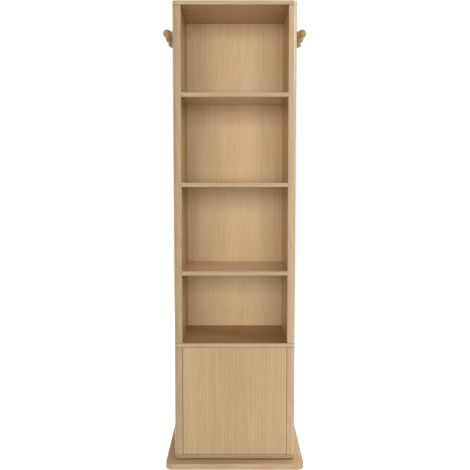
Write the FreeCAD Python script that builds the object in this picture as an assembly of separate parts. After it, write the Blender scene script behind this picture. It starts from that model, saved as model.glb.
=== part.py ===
import FreeCAD, Part
import math
import os

from FreeCAD import Placement, Rotation, Vector

# A tall oak cabinet that turns on a ball bearing above a flat base plate. Shelves face the front, a
# push-open cupboard is below them, a tall mirror is on the back and coat pegs are on both sides.
#
# Frame: millimetres, +Z up, the floor at z = 0, the turning axis along Z through x = 0, y = 0.
# The shelves face -Y, the mirror faces +Y, and the cabinet's left side is at -X.

# ---------------------------------------------------------------- driving dimensions
# Whole cabinet
CABINET_WIDTH = 450.0
CABINET_DEPTH = 400.0
SIDE_THICKNESS = 30.0
BOARD_THICKNESS = 15.0
CUPBOARD_HEIGHT = 410.0
LOWEST_BAY_HEIGHT = 255.0
SHELF_BAY_HEIGHT = 312.0
CORNER_RADIUS = 16.0
INNER_ARRIS_RADIUS = 1.5
BOARD_EASE = 0.6

# Base plate and its pads
BASE_SIDE_OVERHANG = 32.0
BASE_END_OVERHANG = 44.0
BASE_THICKNESS = 22.0
BASE_CORNER_RADIUS = 26.0
BASE_EASE = 1.5
PAD_RADIUS = 15.0
PAD_THICKNESS = 3.0
PAD_RECESS = 1.0
PAD_INSET = 36.0
PAD_COLUMNS = 2
PAD_ROWS = 3

# Ball bearing, let into the base plate: two pressed steel plates, a ring of balls and the cage that
# spaces them
BEARING_RECESS = 5.0
RECESS_PLAY = 0.5
PLATE_WIDTH = 305.0
PLATE_SHEET = 1.5
PLATE_CORNER_RADIUS = 12.0
RACE_RADIUS = 120.0
RACE_DEPTH = 0.6
BALL_RADIUS = 2.4
BALL_PLAY = 0.05
BALL_COUNT = 40
FLANGE_STEP = 8.0
STEP_RUN = 3.0
RIM_REACH = 7.0
COLLAR_GAP = 0.5
LIP_GAP = 0.3
LIP_OVERLAP = 3.0
LIP_HEADROOM = 1.0
CAGE_HALF_WIDTH = 4.5
CAGE_THICKNESS = 1.8
POCKET_PLAY = 0.1
PLATE_SCREW_NEAR = 110.0
PLATE_SCREW_FAR = 140.0
ACCESS_HOLE_RADIUS = 8.0

# Panels behind the shelves, behind the mirror and behind the cupboard
SHELF_BACK_THICKNESS = 9.0
REAR_CAVITY = 42.0
BACKING_THICKNESS = 12.0
MIRROR_THICKNESS = 4.0
MIRROR_RECESS = 2.0
MIRROR_EDGE_GAP = 0.9
MIRROR_BEVEL = 1.0
TAPE_THICKNESS = 1.0
TAPE_WIDTH = 20.0
TAPE_MARGIN = 30.0
GROOVE_DEPTH = 8.0
GROOVE_PLAY = 0.1
PANEL_END_PLAY = 0.5

# Cupboard door, its pivots and its push latch
DOOR_THICKNESS = 15.0
DOOR_REVEAL = 0.9
DOOR_EASE = 2.0
PIVOT_INSET = 30.0
PIVOT_RADIUS = 3.0
PIVOT_REACH = 9.0
PIVOT_PLAY = 0.06
BUSH_WALL = 2.0
BUSH_LENGTH = 12.0
BUSH_FLANGE_RADIUS = 7.0
BUSH_RUN_GAP = 0.3
LATCH_WIDTH = 20.0
LATCH_HEIGHT = 16.0
LATCH_LENGTH = 60.0
LATCH_EASE = 2.0
LATCH_SETBACK = 4.7
EAR_HEIGHT = 12.0
EAR_THICKNESS = 3.0
PLUNGER_RADIUS = 4.0
PLUNGER_LENGTH = 32.0
PLUNGER_PLAY = 0.1
PLUNGER_TIP_GAP = 0.3
LATCH_END_WALL = 10.0
MAGNET_RADIUS = 3.0
MAGNET_DEPTH = 5.0
SPRING_RADIUS = 2.8
SPRING_WIRE = 0.35
SPRING_TURNS = 9
SPRING_END_PLAY = 0.1
STRIKE_RADIUS = 7.0
STRIKE_THICKNESS = 1.0

# Turned coat pegs
PEG_END_INSET = 94.5
PEG_DROP = 100.0
PEG_FOOT_RADIUS = 10.5
PEG_WAIST_RADIUS = 8.5
PEG_WAIST_AT = 9.0
PEG_NECK_LENGTH = 17.0
PEG_NECK_RADIUS = 10.0
KNOB_START_SLOPE = 0.35
PEG_KNOB_RADIUS = 14.9
PEG_KNOB_AT = 27.5
PEG_NOSE_RADIUS = 9.0
PEG_NOSE_AT = 40.0
PEG_PROJECTION = 41.5
STUD_RADIUS = 3.0
STUD_IN_PANEL = 20.0
STUD_IN_PEG = 24.0

# Dowels, cam fittings and screws
DOWEL_RADIUS = 4.0
DOWEL_IN_PANEL = 18.0
DOWEL_CHAMFER = 0.8
SHELF_DOWEL_REACH = 14.0
CAM_RADIUS = 7.4
CAM_THICKNESS = 12.0
CAM_SETBACK = 34.0
CAM_BOLT_INSET = 7.0
BOLT_HEAD_RADIUS = 3.4
BOLT_SHANK_RADIUS = 2.5
BOLT_SCREW_RADIUS = 2.2
CAM_MOUTH_PLAY = 0.4
BOLT_CHANNEL_PLAY = 1.0
RECESS_ARM = 2.6
RECESS_WIDTH = 0.9
RECESS_DEPTH = 1.4
HOLE_FLOOR = 4.0
HOLE_END_PLAY = 0.5
HOLE_PLAY = 0.06
PAN_HEAD_RADIUS = 4.0
PAN_HEAD_HEIGHT = 2.2
PLATE_SCREW_RADIUS = 2.0
PLATE_HOLE_PLAY = 0.3
CSK_HEAD_RADIUS = 3.4
CSK_SCREW_RADIUS = 1.6
BACK_SCREW_LENGTH = 30.0
LATCH_SCREW_LENGTH = 14.0
STRIKE_SCREW_LENGTH = 10.0
SCREW_POINT = 2.5

# Where the fixings stand, as shares of the cabinet's, a shelf's or the latch's depth from its front
LOWER_DOWEL_SHARES = (0.1, 0.5)
LOWER_CAM_SHARES = (0.22, 0.78)
UPPER_DOWEL_SHARES = (0.15, 0.44, 0.68)
SHELF_DOWEL_SHARES = (0.15, 0.5, 0.85)
LATCH_SCREW_SHARES = (0.2, 0.8)
BACK_SCREW_INSET = 20.0

# ---------------------------------------------------------------- worked-out levels and planes
TOUCH = 0.001
HALF_WIDTH = CABINET_WIDTH / 2
HALF_INSIDE = HALF_WIDTH - SIDE_THICKNESS
SIDE_MIDDLE = HALF_WIDTH - SIDE_THICKNESS / 2
FRONT = -CABINET_DEPTH / 2
REAR = CABINET_DEPTH / 2

BASE_HALF_WIDTH = HALF_WIDTH + BASE_SIDE_OVERHANG
BASE_HALF_DEPTH = CABINET_DEPTH / 2 + BASE_END_OVERHANG
BASE_UNDERSIDE = PAD_THICKNESS - PAD_RECESS
BASE_TOP = BASE_UNDERSIDE + BASE_THICKNESS
BEARING_SEAT = BASE_TOP - BEARING_RECESS

# Heights in the bearing, from its seat in the base plate
BALL_CENTRE = PLATE_SHEET - RACE_DEPTH + BALL_PLAY + BALL_RADIUS
UPPER_RACE_UNDERSIDE = BALL_CENTRE + BALL_RADIUS + BALL_PLAY - RACE_DEPTH
UPPER_RACE_TOP = UPPER_RACE_UNDERSIDE + PLATE_SHEET
FLANGE_RISE = LIP_GAP + PLATE_SHEET + LIP_HEADROOM
UPPER_FLANGE_UNDERSIDE = UPPER_RACE_UNDERSIDE + FLANGE_RISE
BEARING_HEIGHT = UPPER_FLANGE_UNDERSIDE + PLATE_SHEET

CABINET_UNDERSIDE = BEARING_SEAT + BEARING_HEIGHT
CUPBOARD_FLOOR = CABINET_UNDERSIDE + BOARD_THICKNESS
DECK_UNDERSIDE = CUPBOARD_FLOOR + CUPBOARD_HEIGHT
DECK_TOP = DECK_UNDERSIDE + BOARD_THICKNESS
SHELF_NAMES = ("lower_shelf", "middle_shelf", "upper_shelf")
SHELF_UNDERSIDES = tuple(
    DECK_TOP + LOWEST_BAY_HEIGHT + i * (BOARD_THICKNESS + SHELF_BAY_HEIGHT)
    for i in range(len(SHELF_NAMES))
)
TOP_UNDERSIDE = SHELF_UNDERSIDES[-1] + BOARD_THICKNESS + SHELF_BAY_HEIGHT
CABINET_TOP = TOP_UNDERSIDE + BOARD_THICKNESS

MIRROR_BACK = REAR - MIRROR_RECESS - MIRROR_THICKNESS
BACKING_REAR = MIRROR_BACK - TAPE_THICKNESS
BACKING_FRONT = BACKING_REAR - BACKING_THICKNESS
SHELF_BACK_REAR = BACKING_FRONT - REAR_CAVITY
SHELF_BACK_FRONT = SHELF_BACK_REAR - SHELF_BACK_THICKNESS
SHELF_DEPTH = SHELF_BACK_FRONT - FRONT
LOWER_DOWEL_Y = [FRONT + CABINET_DEPTH * share for share in LOWER_DOWEL_SHARES]
LOWER_CAM_Y = [FRONT + CABINET_DEPTH * share for share in LOWER_CAM_SHARES]
UPPER_DOWEL_Y = [FRONT + CABINET_DEPTH * share for share in UPPER_DOWEL_SHARES]
UPPER_CAM_Y = [(SHELF_BACK_REAR + BACKING_FRONT) / 2]

BOARD_HOLE_DEPTH = BOARD_THICKNESS - HOLE_FLOOR
SEAT_HOLE_DEPTH = BASE_THICKNESS - BEARING_RECESS - HOLE_FLOOR
PLATE_SCREW_PLACES = tuple(
    (sx * x, sy * y)
    for sx in (-1, 1)
    for sy in (-1, 1)
    for x, y in ((PLATE_SCREW_NEAR, PLATE_SCREW_FAR), (PLATE_SCREW_FAR, PLATE_SCREW_NEAR))
)
ACCESS_HOLE_Y = math.hypot(PLATE_SCREW_NEAR, PLATE_SCREW_FAR)

DOOR_HALF_WIDTH = HALF_INSIDE - DOOR_REVEAL
BUSH_FLANGE = DOOR_REVEAL - BUSH_RUN_GAP
DOOR_BACK = FRONT + DOOR_THICKNESS
PIVOT_X = -DOOR_HALF_WIDTH + PIVOT_INSET
PIVOT_Y = FRONT + DOOR_THICKNESS / 2
LATCH_Z = CUPBOARD_FLOOR + CUPBOARD_HEIGHT / 2
LATCH_FRONT = DOOR_BACK + LATCH_SETBACK
PLUNGER_X = HALF_INSIDE - EAR_THICKNESS - (LATCH_WIDTH - EAR_THICKNESS) / 2
PLUNGER_TIP = DOOR_BACK + STRIKE_THICKNESS + PLUNGER_TIP_GAP
PLUNGER_END = PLUNGER_TIP + PLUNGER_LENGTH
LATCH_BORE_END = LATCH_FRONT + LATCH_LENGTH - LATCH_END_WALL

PEG_ROWS = (("front", FRONT + PEG_END_INSET), ("middle", 0.0), ("rear", REAR - PEG_END_INSET))
PEG_Z = CABINET_TOP - PEG_DROP

UP = Vector(0, 0, 1)
DOWN = Vector(0, 0, -1)
RIGHTWARD = Vector(1, 0, 0)
BACKWARD = Vector(0, 1, 0)


# ---------------------------------------------------------------- shapes that several pieces use
def block(x0, x1, y0, y1, z0, z1):
    """A plain block between two corners."""
    return Part.makeBox(x1 - x0, y1 - y0, z1 - z0, Vector(x0, y0, z0))


def rod(radius, length, start, direction):
    """A round bar that starts at a point and runs along a direction."""
    return Part.makeCylinder(radius, length, start, direction)


def aimed(shape, place, direction):
    """Turns a shape that was drawn along +Z to run along a direction from a place."""
    copy = shape.copy()
    copy.Placement = Placement(place, Rotation(UP, direction))
    return copy


def mirrored(shape):
    """The same shape on the other side of the cabinet."""
    return shape.mirror(Vector(0, 0, 0), RIGHTWARD)


def group(shapes):
    """Separate solids that share one node."""
    return Part.makeCompound(shapes)


def upright_edges(shape, corners):
    """The vertical edges that stand on the given plan corners."""
    found = []
    for edge in shape.Edges:
        ends = edge.Vertexes
        if len(ends) == 2 and abs(ends[0].X - ends[1].X) < TOUCH and abs(ends[0].Y - ends[1].Y) < TOUCH:
            if any(math.hypot(ends[0].X - x, ends[0].Y - y) < TOUCH for x, y in corners):
                found.append(edge)
    return found


def rim_edges(shape, levels):
    """The edges that lie flat at the given heights."""
    return [e for e in shape.Edges if any(all(abs(v.Z - z) < TOUCH for v in e.Vertexes) for z in levels)]


def corners_of(x0, x1, y0, y1):
    return [(x, y) for x in (x0, x1) for y in (y0, y1)]


def rounded_board(half_width, half_depth, z0, z1, corner_radius, ease):
    """A flat board centred on the axis, with round plan corners and eased top and bottom edges."""
    board = block(-half_width, half_width, -half_depth, half_depth, z0, z1)
    corners = corners_of(-half_width, half_width, -half_depth, half_depth)
    board = board.makeFillet(corner_radius, upright_edges(board, corners))
    return board.makeFillet(ease, rim_edges(board, (z0, z1)))


def revolved(points):
    """A ring about the turning axis, from a closed outline of (radius, height) points."""
    outline = Part.makePolygon([Vector(r, 0, z) for r, z in points + [points[0]]])
    return Part.Face(outline).revolve(Vector(0, 0, 0), UP, 360)


def cross_recess(depth):
    """The driver's cross, cut down from z = 0."""
    arm = block(-RECESS_ARM, RECESS_ARM, -RECESS_WIDTH / 2, RECESS_WIDTH / 2, -depth, TOUCH)
    other = arm.copy()
    other.rotate(Vector(0, 0, 0), UP, 90)
    return arm.fuse(other)


def screw_shank(radius, length, start):
    """A shank along -Z from a height, with a point."""
    body = rod(radius, length - SCREW_POINT, Vector(0, 0, start), DOWN)
    point = Part.makeCone(radius, 0, SCREW_POINT, Vector(0, 0, start - length + SCREW_POINT), DOWN)
    return body.fuse(point)


def pan_screw(length):
    """A pan-head screw along -Z, with the head's underside at z = 0."""
    head = rod(PAN_HEAD_RADIUS, PAN_HEAD_HEIGHT, Vector(0, 0, 0), UP)
    head = head.makeFillet(PAN_HEAD_HEIGHT / 2, rim_edges(head, (PAN_HEAD_HEIGHT,)))
    recess = cross_recess(RECESS_DEPTH)
    recess.translate(Vector(0, 0, PAN_HEAD_HEIGHT))
    return head.fuse(screw_shank(PLATE_SCREW_RADIUS, length, 0)).cut(recess).removeSplitter()


def countersunk_screw(length):
    """A countersunk screw along -Z, with the head's face at z = 0."""
    taper = CSK_HEAD_RADIUS - CSK_SCREW_RADIUS
    head = Part.makeCone(CSK_HEAD_RADIUS, CSK_SCREW_RADIUS, taper, Vector(0, 0, 0), DOWN)
    shank = screw_shank(CSK_SCREW_RADIUS, length - taper, -taper)
    return head.fuse(shank).cut(cross_recess(RECESS_DEPTH)).removeSplitter()


def countersunk_hole(length):
    """The hole that a countersunk screw fills, along -Z from z = 0."""
    taper = CSK_HEAD_RADIUS - CSK_SCREW_RADIUS
    head_radius = CSK_HEAD_RADIUS + HOLE_PLAY
    radius = CSK_SCREW_RADIUS + HOLE_PLAY
    head = Part.makeCone(head_radius, radius, taper, Vector(0, 0, 0), DOWN)
    return head.fuse(rod(radius, length + HOLE_END_PLAY, Vector(0, 0, 0), DOWN))


def dowel(middle, direction, before, after):
    """A glued dowel with chamfered ends, before and after a point on its axis."""
    length = before + after
    pin = rod(DOWEL_RADIUS, length, Vector(0, 0, 0), UP)
    pin = pin.makeChamfer(DOWEL_CHAMFER, rim_edges(pin, (0, length)))
    return aimed(pin, middle - direction * before, direction)


def dowel_hole(middle, direction, before, after):
    """The hole for one dowel, a little longer than it at both ends."""
    start = middle - direction * (before + HOLE_END_PLAY)
    return rod(DOWEL_RADIUS + HOLE_PLAY, before + after + 2 * HOLE_END_PLAY, start, direction)


# ---------------------------------------------------------------- base and bearing
def pad_places():
    half_x = BASE_HALF_WIDTH - PAD_INSET
    half_y = BASE_HALF_DEPTH - PAD_INSET
    xs = [-half_x + 2 * half_x * i / (PAD_COLUMNS - 1) for i in range(PAD_COLUMNS)]
    ys = [-half_y + 2 * half_y * i / (PAD_ROWS - 1) for i in range(PAD_ROWS)]
    return [(x, y) for x in xs for y in ys]


def make_base_plate():
    plate = rounded_board(
        BASE_HALF_WIDTH, BASE_HALF_DEPTH, BASE_UNDERSIDE, BASE_TOP, BASE_CORNER_RADIUS, BASE_EASE
    )
    cuts = [rod(PAD_RADIUS + HOLE_PLAY, PAD_THICKNESS, Vector(x, y, 0), UP) for x, y in pad_places()]
    cuts.append(square_sheet(PLATE_WIDTH / 2 + RECESS_PLAY, BEARING_SEAT, BEARING_RECESS))
    cuts += [
        rod(PLATE_SCREW_RADIUS + HOLE_PLAY, SEAT_HOLE_DEPTH, Vector(x, y, BEARING_SEAT), DOWN)
        for x, y in PLATE_SCREW_PLACES
    ]
    cuts.append(rod(ACCESS_HOLE_RADIUS, BASE_THICKNESS, Vector(0, ACCESS_HOLE_Y, BASE_UNDERSIDE), UP))
    return plate.cut(cuts)


def make_base_pads():
    pads = []
    for x, y in pad_places():
        pads.append(rod(PAD_RADIUS, PAD_THICKNESS, Vector(x, y, 0), UP))
    return group(pads)


def square_sheet(half, z, thickness):
    """A square with the bearing plates' round corners."""
    sheet = block(-half, half, -half, half, z, z + thickness)
    return sheet.makeFillet(PLATE_CORNER_RADIUS, upright_edges(sheet, corners_of(-half, half, -half, half)))


def bearing_flange(z, hole_radius):
    """A square plate with round corners, a round hole and the screw holes."""
    sheet = square_sheet(PLATE_WIDTH / 2, z, PLATE_SHEET)
    cuts = [rod(hole_radius, PLATE_SHEET, Vector(0, 0, z), UP)]
    for x, y in PLATE_SCREW_PLACES:
        cuts.append(rod(PLATE_SCREW_RADIUS + PLATE_HOLE_PLAY, PLATE_SHEET, Vector(x, y, z), UP))
    return sheet.cut(cuts)


def ball_groove():
    """The ring that the balls roll in, as a solid to cut away."""
    return Part.makeTorus(RACE_RADIUS, BALL_RADIUS + BALL_PLAY, Vector(0, 0, BEARING_SEAT + BALL_CENTRE), UP)


def make_bearing_lower_plate():
    """The plate in the base, with a collar that curls over the upper plate and holds the two together."""
    rim = RACE_RADIUS - RIM_REACH
    outer = rim - COLLAR_GAP
    inner = outer - PLATE_SHEET
    lip_under = BEARING_SEAT + UPPER_RACE_TOP + LIP_GAP
    lip_top = lip_under + PLATE_SHEET
    collar = revolved([
        (inner, BEARING_SEAT),
        (outer, BEARING_SEAT),
        (outer, lip_under),
        (rim + LIP_OVERLAP, lip_under),
        (rim + LIP_OVERLAP, lip_top),
        (inner, lip_top),
    ])
    plate = bearing_flange(BEARING_SEAT, outer).fuse(collar)
    return plate.cut(ball_groove()).removeSplitter()


def make_bearing_upper_plate():
    """The plate under the cabinet, with its race pressed down over the balls."""
    rim = RACE_RADIUS - RIM_REACH
    step = RACE_RADIUS + FLANGE_STEP
    slope = STEP_RUN / FLANGE_RISE * PLATE_SHEET / 2
    join = step + 2 * STEP_RUN
    race_under = BEARING_SEAT + UPPER_RACE_UNDERSIDE
    race_top = BEARING_SEAT + UPPER_RACE_TOP
    flange_under = BEARING_SEAT + UPPER_FLANGE_UNDERSIDE
    flange_top = BEARING_SEAT + BEARING_HEIGHT
    race = revolved([
        (rim, race_under),
        (step, race_under),
        (step + STEP_RUN, flange_under),
        (join, flange_under),
        (join, flange_top),
        (step + STEP_RUN - slope, flange_top),
        (step - slope, race_top),
        (rim, race_top),
    ])
    plate = bearing_flange(flange_under, join).fuse(race)
    return plate.cut(ball_groove()).removeSplitter()


def ball_places():
    z = BEARING_SEAT + BALL_CENTRE
    turns = [2 * math.pi * i / BALL_COUNT for i in range(BALL_COUNT)]
    return [Vector(RACE_RADIUS * math.cos(turn), RACE_RADIUS * math.sin(turn), z) for turn in turns]


def make_ball_cage():
    low = BEARING_SEAT + BALL_CENTRE - CAGE_THICKNESS / 2
    ring = rod(RACE_RADIUS + CAGE_HALF_WIDTH, CAGE_THICKNESS, Vector(0, 0, low), UP)
    cuts = [rod(RACE_RADIUS - CAGE_HALF_WIDTH, CAGE_THICKNESS, Vector(0, 0, low), UP)]
    for place in ball_places():
        cuts.append(rod(BALL_RADIUS + POCKET_PLAY, CAGE_THICKNESS, Vector(place.x, place.y, low), UP))
    return ring.cut(cuts)


def make_bearing_balls():
    return group([Part.makeSphere(BALL_RADIUS, place) for place in ball_places()])


def make_bearing_lower_screws():
    screw = pan_screw(SEAT_HOLE_DEPTH + PLATE_SHEET - HOLE_END_PLAY)
    z = BEARING_SEAT + PLATE_SHEET
    return group([aimed(screw, Vector(x, y, z), UP) for x, y in PLATE_SCREW_PLACES])


def make_bearing_upper_screws():
    screw = pan_screw(BOARD_HOLE_DEPTH + PLATE_SHEET - HOLE_END_PLAY)
    z = BEARING_SEAT + UPPER_FLANGE_UNDERSIDE
    return group([aimed(screw, Vector(x, y, z), DOWN) for x, y in PLATE_SCREW_PLACES])


# ---------------------------------------------------------------- joints between the panels and the boards
# Each joint is told by the height of the face where a side panel meets a board, and by the way from
# the board into the panel.
LOWER_JOINTS = ((CUPBOARD_FLOOR, UP), (DECK_UNDERSIDE, DOWN))
UPPER_JOINTS = ((DECK_TOP, UP), (TOP_UNDERSIDE, DOWN))


def both_sides(shapes):
    return shapes + [mirrored(s) for s in shapes]


def joint_dowels(face, into_panel, depths):
    """The dowels of one joint, in both sides of the cabinet."""
    return both_sides([
        dowel(Vector(SIDE_MIDDLE, y, face), into_panel, BOARD_HOLE_DEPTH - HOLE_END_PLAY, DOWEL_IN_PANEL)
        for y in depths
    ])


def joint_dowel_holes(face, into_panel, depths):
    return both_sides([
        dowel_hole(Vector(SIDE_MIDDLE, y, face), into_panel, BOARD_HOLE_DEPTH - HOLE_END_PLAY, DOWEL_IN_PANEL)
        for y in depths
    ])


def cam_centre(face, into_panel, y):
    return Vector(HALF_INSIDE + CAM_BOLT_INSET, y, face) + into_panel * CAM_SETBACK


def cam_mouth(face, into_panel, y):
    """The way into a cam that its bolt's head takes."""
    centre = cam_centre(face, into_panel, y)
    radius = BOLT_HEAD_RADIUS + CAM_MOUTH_PLAY
    return rod(radius, CAM_SETBACK, centre, into_panel * -1).fuse(Part.makeSphere(radius, centre))


def joint_cams(face, into_panel, depths):
    """The cams of one joint: discs in the panels' inner faces that pull the bolts tight."""
    cams = []
    for y in depths:
        centre = cam_centre(face, into_panel, y)
        face_centre = Vector(HALF_INSIDE, y, centre.z)
        disc = rod(CAM_RADIUS, CAM_THICKNESS, face_centre, RIGHTWARD)
        recess = aimed(cross_recess(RECESS_DEPTH), face_centre, RIGHTWARD * -1)
        cams.append(disc.cut([cam_mouth(face, into_panel, y), recess]))
    return both_sides(cams)


def joint_cam_bolts(face, into_panel, depths):
    """The bolts of one joint, screwed into the board and gripped by the cams."""
    bolts = []
    for y in depths:
        centre = cam_centre(face, into_panel, y)
        out = into_panel * -1
        head = Part.makeSphere(BOLT_HEAD_RADIUS, centre)
        shank = rod(BOLT_SHANK_RADIUS, CAM_SETBACK, centre, out)
        screw = rod(BOLT_SCREW_RADIUS, CAM_SETBACK + BOARD_HOLE_DEPTH - HOLE_END_PLAY, centre, out)
        bolts.append(head.fuse([shank, screw]).removeSplitter())
    return both_sides(bolts)


def joint_cam_holes(face, into_panel, depths):
    """What one joint's cams and bolts take out of the panels and the board."""
    holes = []
    for y in depths:
        centre = cam_centre(face, into_panel, y)
        out = into_panel * -1
        pocket_start = Vector(HALF_INSIDE - TOUCH, y, centre.z)
        pocket = rod(CAM_RADIUS + HOLE_PLAY, CAM_THICKNESS + TOUCH, pocket_start, RIGHTWARD)
        channel = rod(BOLT_SHANK_RADIUS + BOLT_CHANNEL_PLAY, CAM_SETBACK, centre, out)
        screw = rod(BOLT_SCREW_RADIUS + HOLE_PLAY, CAM_SETBACK + BOARD_HOLE_DEPTH, centre, out)
        holes += [pocket, channel, screw]
    return both_sides(holes)


def lower_joint_holes():
    holes = []
    for face, into_panel in LOWER_JOINTS:
        holes += joint_dowel_holes(face, into_panel, LOWER_DOWEL_Y)
        holes += joint_cam_holes(face, into_panel, LOWER_CAM_Y)
    return holes


def upper_joint_holes():
    holes = []
    for face, into_panel in UPPER_JOINTS:
        holes += joint_dowel_holes(face, into_panel, UPPER_DOWEL_Y)
        holes += joint_cam_holes(face, into_panel, UPPER_CAM_Y)
    return holes


# ---------------------------------------------------------------- carcass
def groove(front, rear, z0, z1):
    """A groove in both side panels for a panel that slides down between them."""
    half = HALF_INSIDE + GROOVE_DEPTH
    return block(-half, half, front - GROOVE_PLAY, rear + GROOVE_PLAY, z0, z1)


def blank_side(z0, z1):
    """The right side panel between two levels: round outside corners and a lightly eased inner arris."""
    panel = block(HALF_INSIDE, HALF_WIDTH, FRONT, REAR, z0, z1)
    outer = [(HALF_WIDTH, FRONT), (HALF_WIDTH, REAR)]
    inner = [(HALF_INSIDE, FRONT), (HALF_INSIDE, REAR)]
    panel = panel.makeFillet(CORNER_RADIUS, upright_edges(panel, outer))
    panel = panel.makeFillet(INNER_ARRIS_RADIUS, upright_edges(panel, inner))
    panel = panel.makeFillet(BOARD_EASE, rim_edges(panel, (z0, z1)))
    return panel.cut(groove(BACKING_FRONT, BACKING_REAR, z0, z1))


def carcass_board(z0):
    """A full-width board with round plan corners."""
    return rounded_board(HALF_WIDTH, REAR, z0, z0 + BOARD_THICKNESS, CORNER_RADIUS, BOARD_EASE)


def pivot_pin_holes():
    """The holes for the door's pivot pins, in the bottom board and the deck."""
    radius = PIVOT_RADIUS + HOLE_PLAY / 2
    lower = rod(radius, BOARD_HOLE_DEPTH, Vector(PIVOT_X, PIVOT_Y, CUPBOARD_FLOOR), DOWN)
    upper = rod(radius, BOARD_HOLE_DEPTH, Vector(PIVOT_X, PIVOT_Y, DECK_UNDERSIDE), UP)
    return [lower, upper]


def make_bottom_board():
    holes = lower_joint_holes() + pivot_pin_holes()
    for x, y in PLATE_SCREW_PLACES:
        start = Vector(x, y, CABINET_UNDERSIDE)
        holes.append(rod(PLATE_SCREW_RADIUS + HOLE_PLAY, BOARD_HOLE_DEPTH, start, UP))
    return carcass_board(CABINET_UNDERSIDE).cut(holes)


def make_deck_board():
    """The board between the cupboard and the shelves."""
    return carcass_board(DECK_UNDERSIDE).cut(lower_joint_holes() + upper_joint_holes() + pivot_pin_holes())


def make_top_board():
    return carcass_board(TOP_UNDERSIDE).cut(upper_joint_holes())


def make_lower_side_right():
    panel = blank_side(CUPBOARD_FLOOR, DECK_UNDERSIDE).cut(lower_joint_holes())
    return panel.cut([latch_screw_hole(y, z) for y, z in latch_screw_places()])


def make_lower_side_left():
    return mirrored(blank_side(CUPBOARD_FLOOR, DECK_UNDERSIDE)).cut(lower_joint_holes())


def make_upper_side_right():
    panel = blank_side(DECK_TOP, TOP_UNDERSIDE)
    cuts = upper_joint_holes() + shelf_dowel_holes() + [stud_hole(y) for _, y in PEG_ROWS]
    cuts.append(groove(SHELF_BACK_FRONT, SHELF_BACK_REAR, DECK_TOP, TOP_UNDERSIDE))
    return panel.cut(cuts)


def make_upper_side_left():
    return mirrored(make_upper_side_right())


# ---------------------------------------------------------------- shelves and the panel behind them
def shelf_dowel_places(z):
    middle = z + BOARD_THICKNESS / 2
    return [Vector(HALF_INSIDE, FRONT + SHELF_DEPTH * share, middle) for share in SHELF_DOWEL_SHARES]


def shelf_dowels(z):
    return both_sides([
        dowel(place, RIGHTWARD, SHELF_DOWEL_REACH, SHELF_DOWEL_REACH) for place in shelf_dowel_places(z)
    ])


def shelf_dowel_holes():
    holes = []
    for z in SHELF_UNDERSIDES:
        for place in shelf_dowel_places(z):
            holes.append(dowel_hole(place, RIGHTWARD, SHELF_DOWEL_REACH, SHELF_DOWEL_REACH))
    return both_sides(holes)


def back_screw_places(z):
    """Where the screws through the panel into one shelf stand."""
    middle = z + BOARD_THICKNESS / 2
    reach = HALF_INSIDE - BACK_SCREW_INSET
    return [Vector(x, SHELF_BACK_REAR, middle) for x in (-reach, 0, reach)]


def on_back_panel(shape):
    """Copies of a screw or its hole, at every place on the panel behind the shelves."""
    return [aimed(shape, place, BACKWARD) for z in SHELF_UNDERSIDES for place in back_screw_places(z)]


def make_shelf(z):
    shelf = block(-HALF_INSIDE, HALF_INSIDE, FRONT, SHELF_BACK_FRONT, z, z + BOARD_THICKNESS)
    front_edges = [e for e in rim_edges(shelf, (z, z + BOARD_THICKNESS)) if e.CenterOfMass.y < FRONT + TOUCH]
    shelf = shelf.makeFillet(BOARD_EASE, front_edges)
    hole = countersunk_hole(BACK_SCREW_LENGTH)
    screw_holes = [aimed(hole, place, BACKWARD) for place in back_screw_places(z)]
    return shelf.cut(shelf_dowel_holes() + screw_holes)


def grooved_panel(front, rear, z0, z1):
    """A thin panel that stands in the side panels' grooves between two boards."""
    half = HALF_INSIDE + GROOVE_DEPTH - PANEL_END_PLAY
    return block(-half, half, front, rear, z0 + PANEL_END_PLAY, z1 - PANEL_END_PLAY)


def make_shelf_back_panel():
    panel = grooved_panel(SHELF_BACK_FRONT, SHELF_BACK_REAR, DECK_TOP, TOP_UNDERSIDE)
    return panel.cut(on_back_panel(countersunk_hole(BACK_SCREW_LENGTH)))


def make_back_panel_screws():
    return group(on_back_panel(countersunk_screw(BACK_SCREW_LENGTH)))


# ---------------------------------------------------------------- back of the cabinet
def make_cupboard_back_panel():
    return grooved_panel(BACKING_FRONT, BACKING_REAR, CUPBOARD_FLOOR, DECK_UNDERSIDE)


def make_mirror_backing():
    return grooved_panel(BACKING_FRONT, BACKING_REAR, DECK_TOP, TOP_UNDERSIDE)


def make_mirror_tape():
    half = HALF_INSIDE - TAPE_MARGIN
    low = DECK_TOP + TAPE_MARGIN
    high = TOP_UNDERSIDE - TAPE_MARGIN
    middles = (-half + TAPE_WIDTH / 2, 0, half - TAPE_WIDTH / 2)
    return group([
        block(x - TAPE_WIDTH / 2, x + TAPE_WIDTH / 2, BACKING_REAR, MIRROR_BACK, low, high) for x in middles
    ])


def make_mirror_glass():
    half = HALF_INSIDE - MIRROR_EDGE_GAP
    low = DECK_TOP + MIRROR_EDGE_GAP
    high = TOP_UNDERSIDE - MIRROR_EDGE_GAP
    face = MIRROR_BACK + MIRROR_THICKNESS
    glass = block(-half, half, MIRROR_BACK, face, low, high)
    front_edges = [e for e in glass.Edges if all(abs(v.Y - face) < TOUCH for v in e.Vertexes)]
    return glass.makeChamfer(MIRROR_BEVEL, front_edges)


# ---------------------------------------------------------------- cupboard door
def bush_seats():
    """The places and directions of the door's two bushes, from the door's ends inwards."""
    low = CUPBOARD_FLOOR + DOOR_REVEAL
    high = DECK_UNDERSIDE - DOOR_REVEAL
    return [(Vector(PIVOT_X, PIVOT_Y, low), UP), (Vector(PIVOT_X, PIVOT_Y, high), DOWN)]


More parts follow.
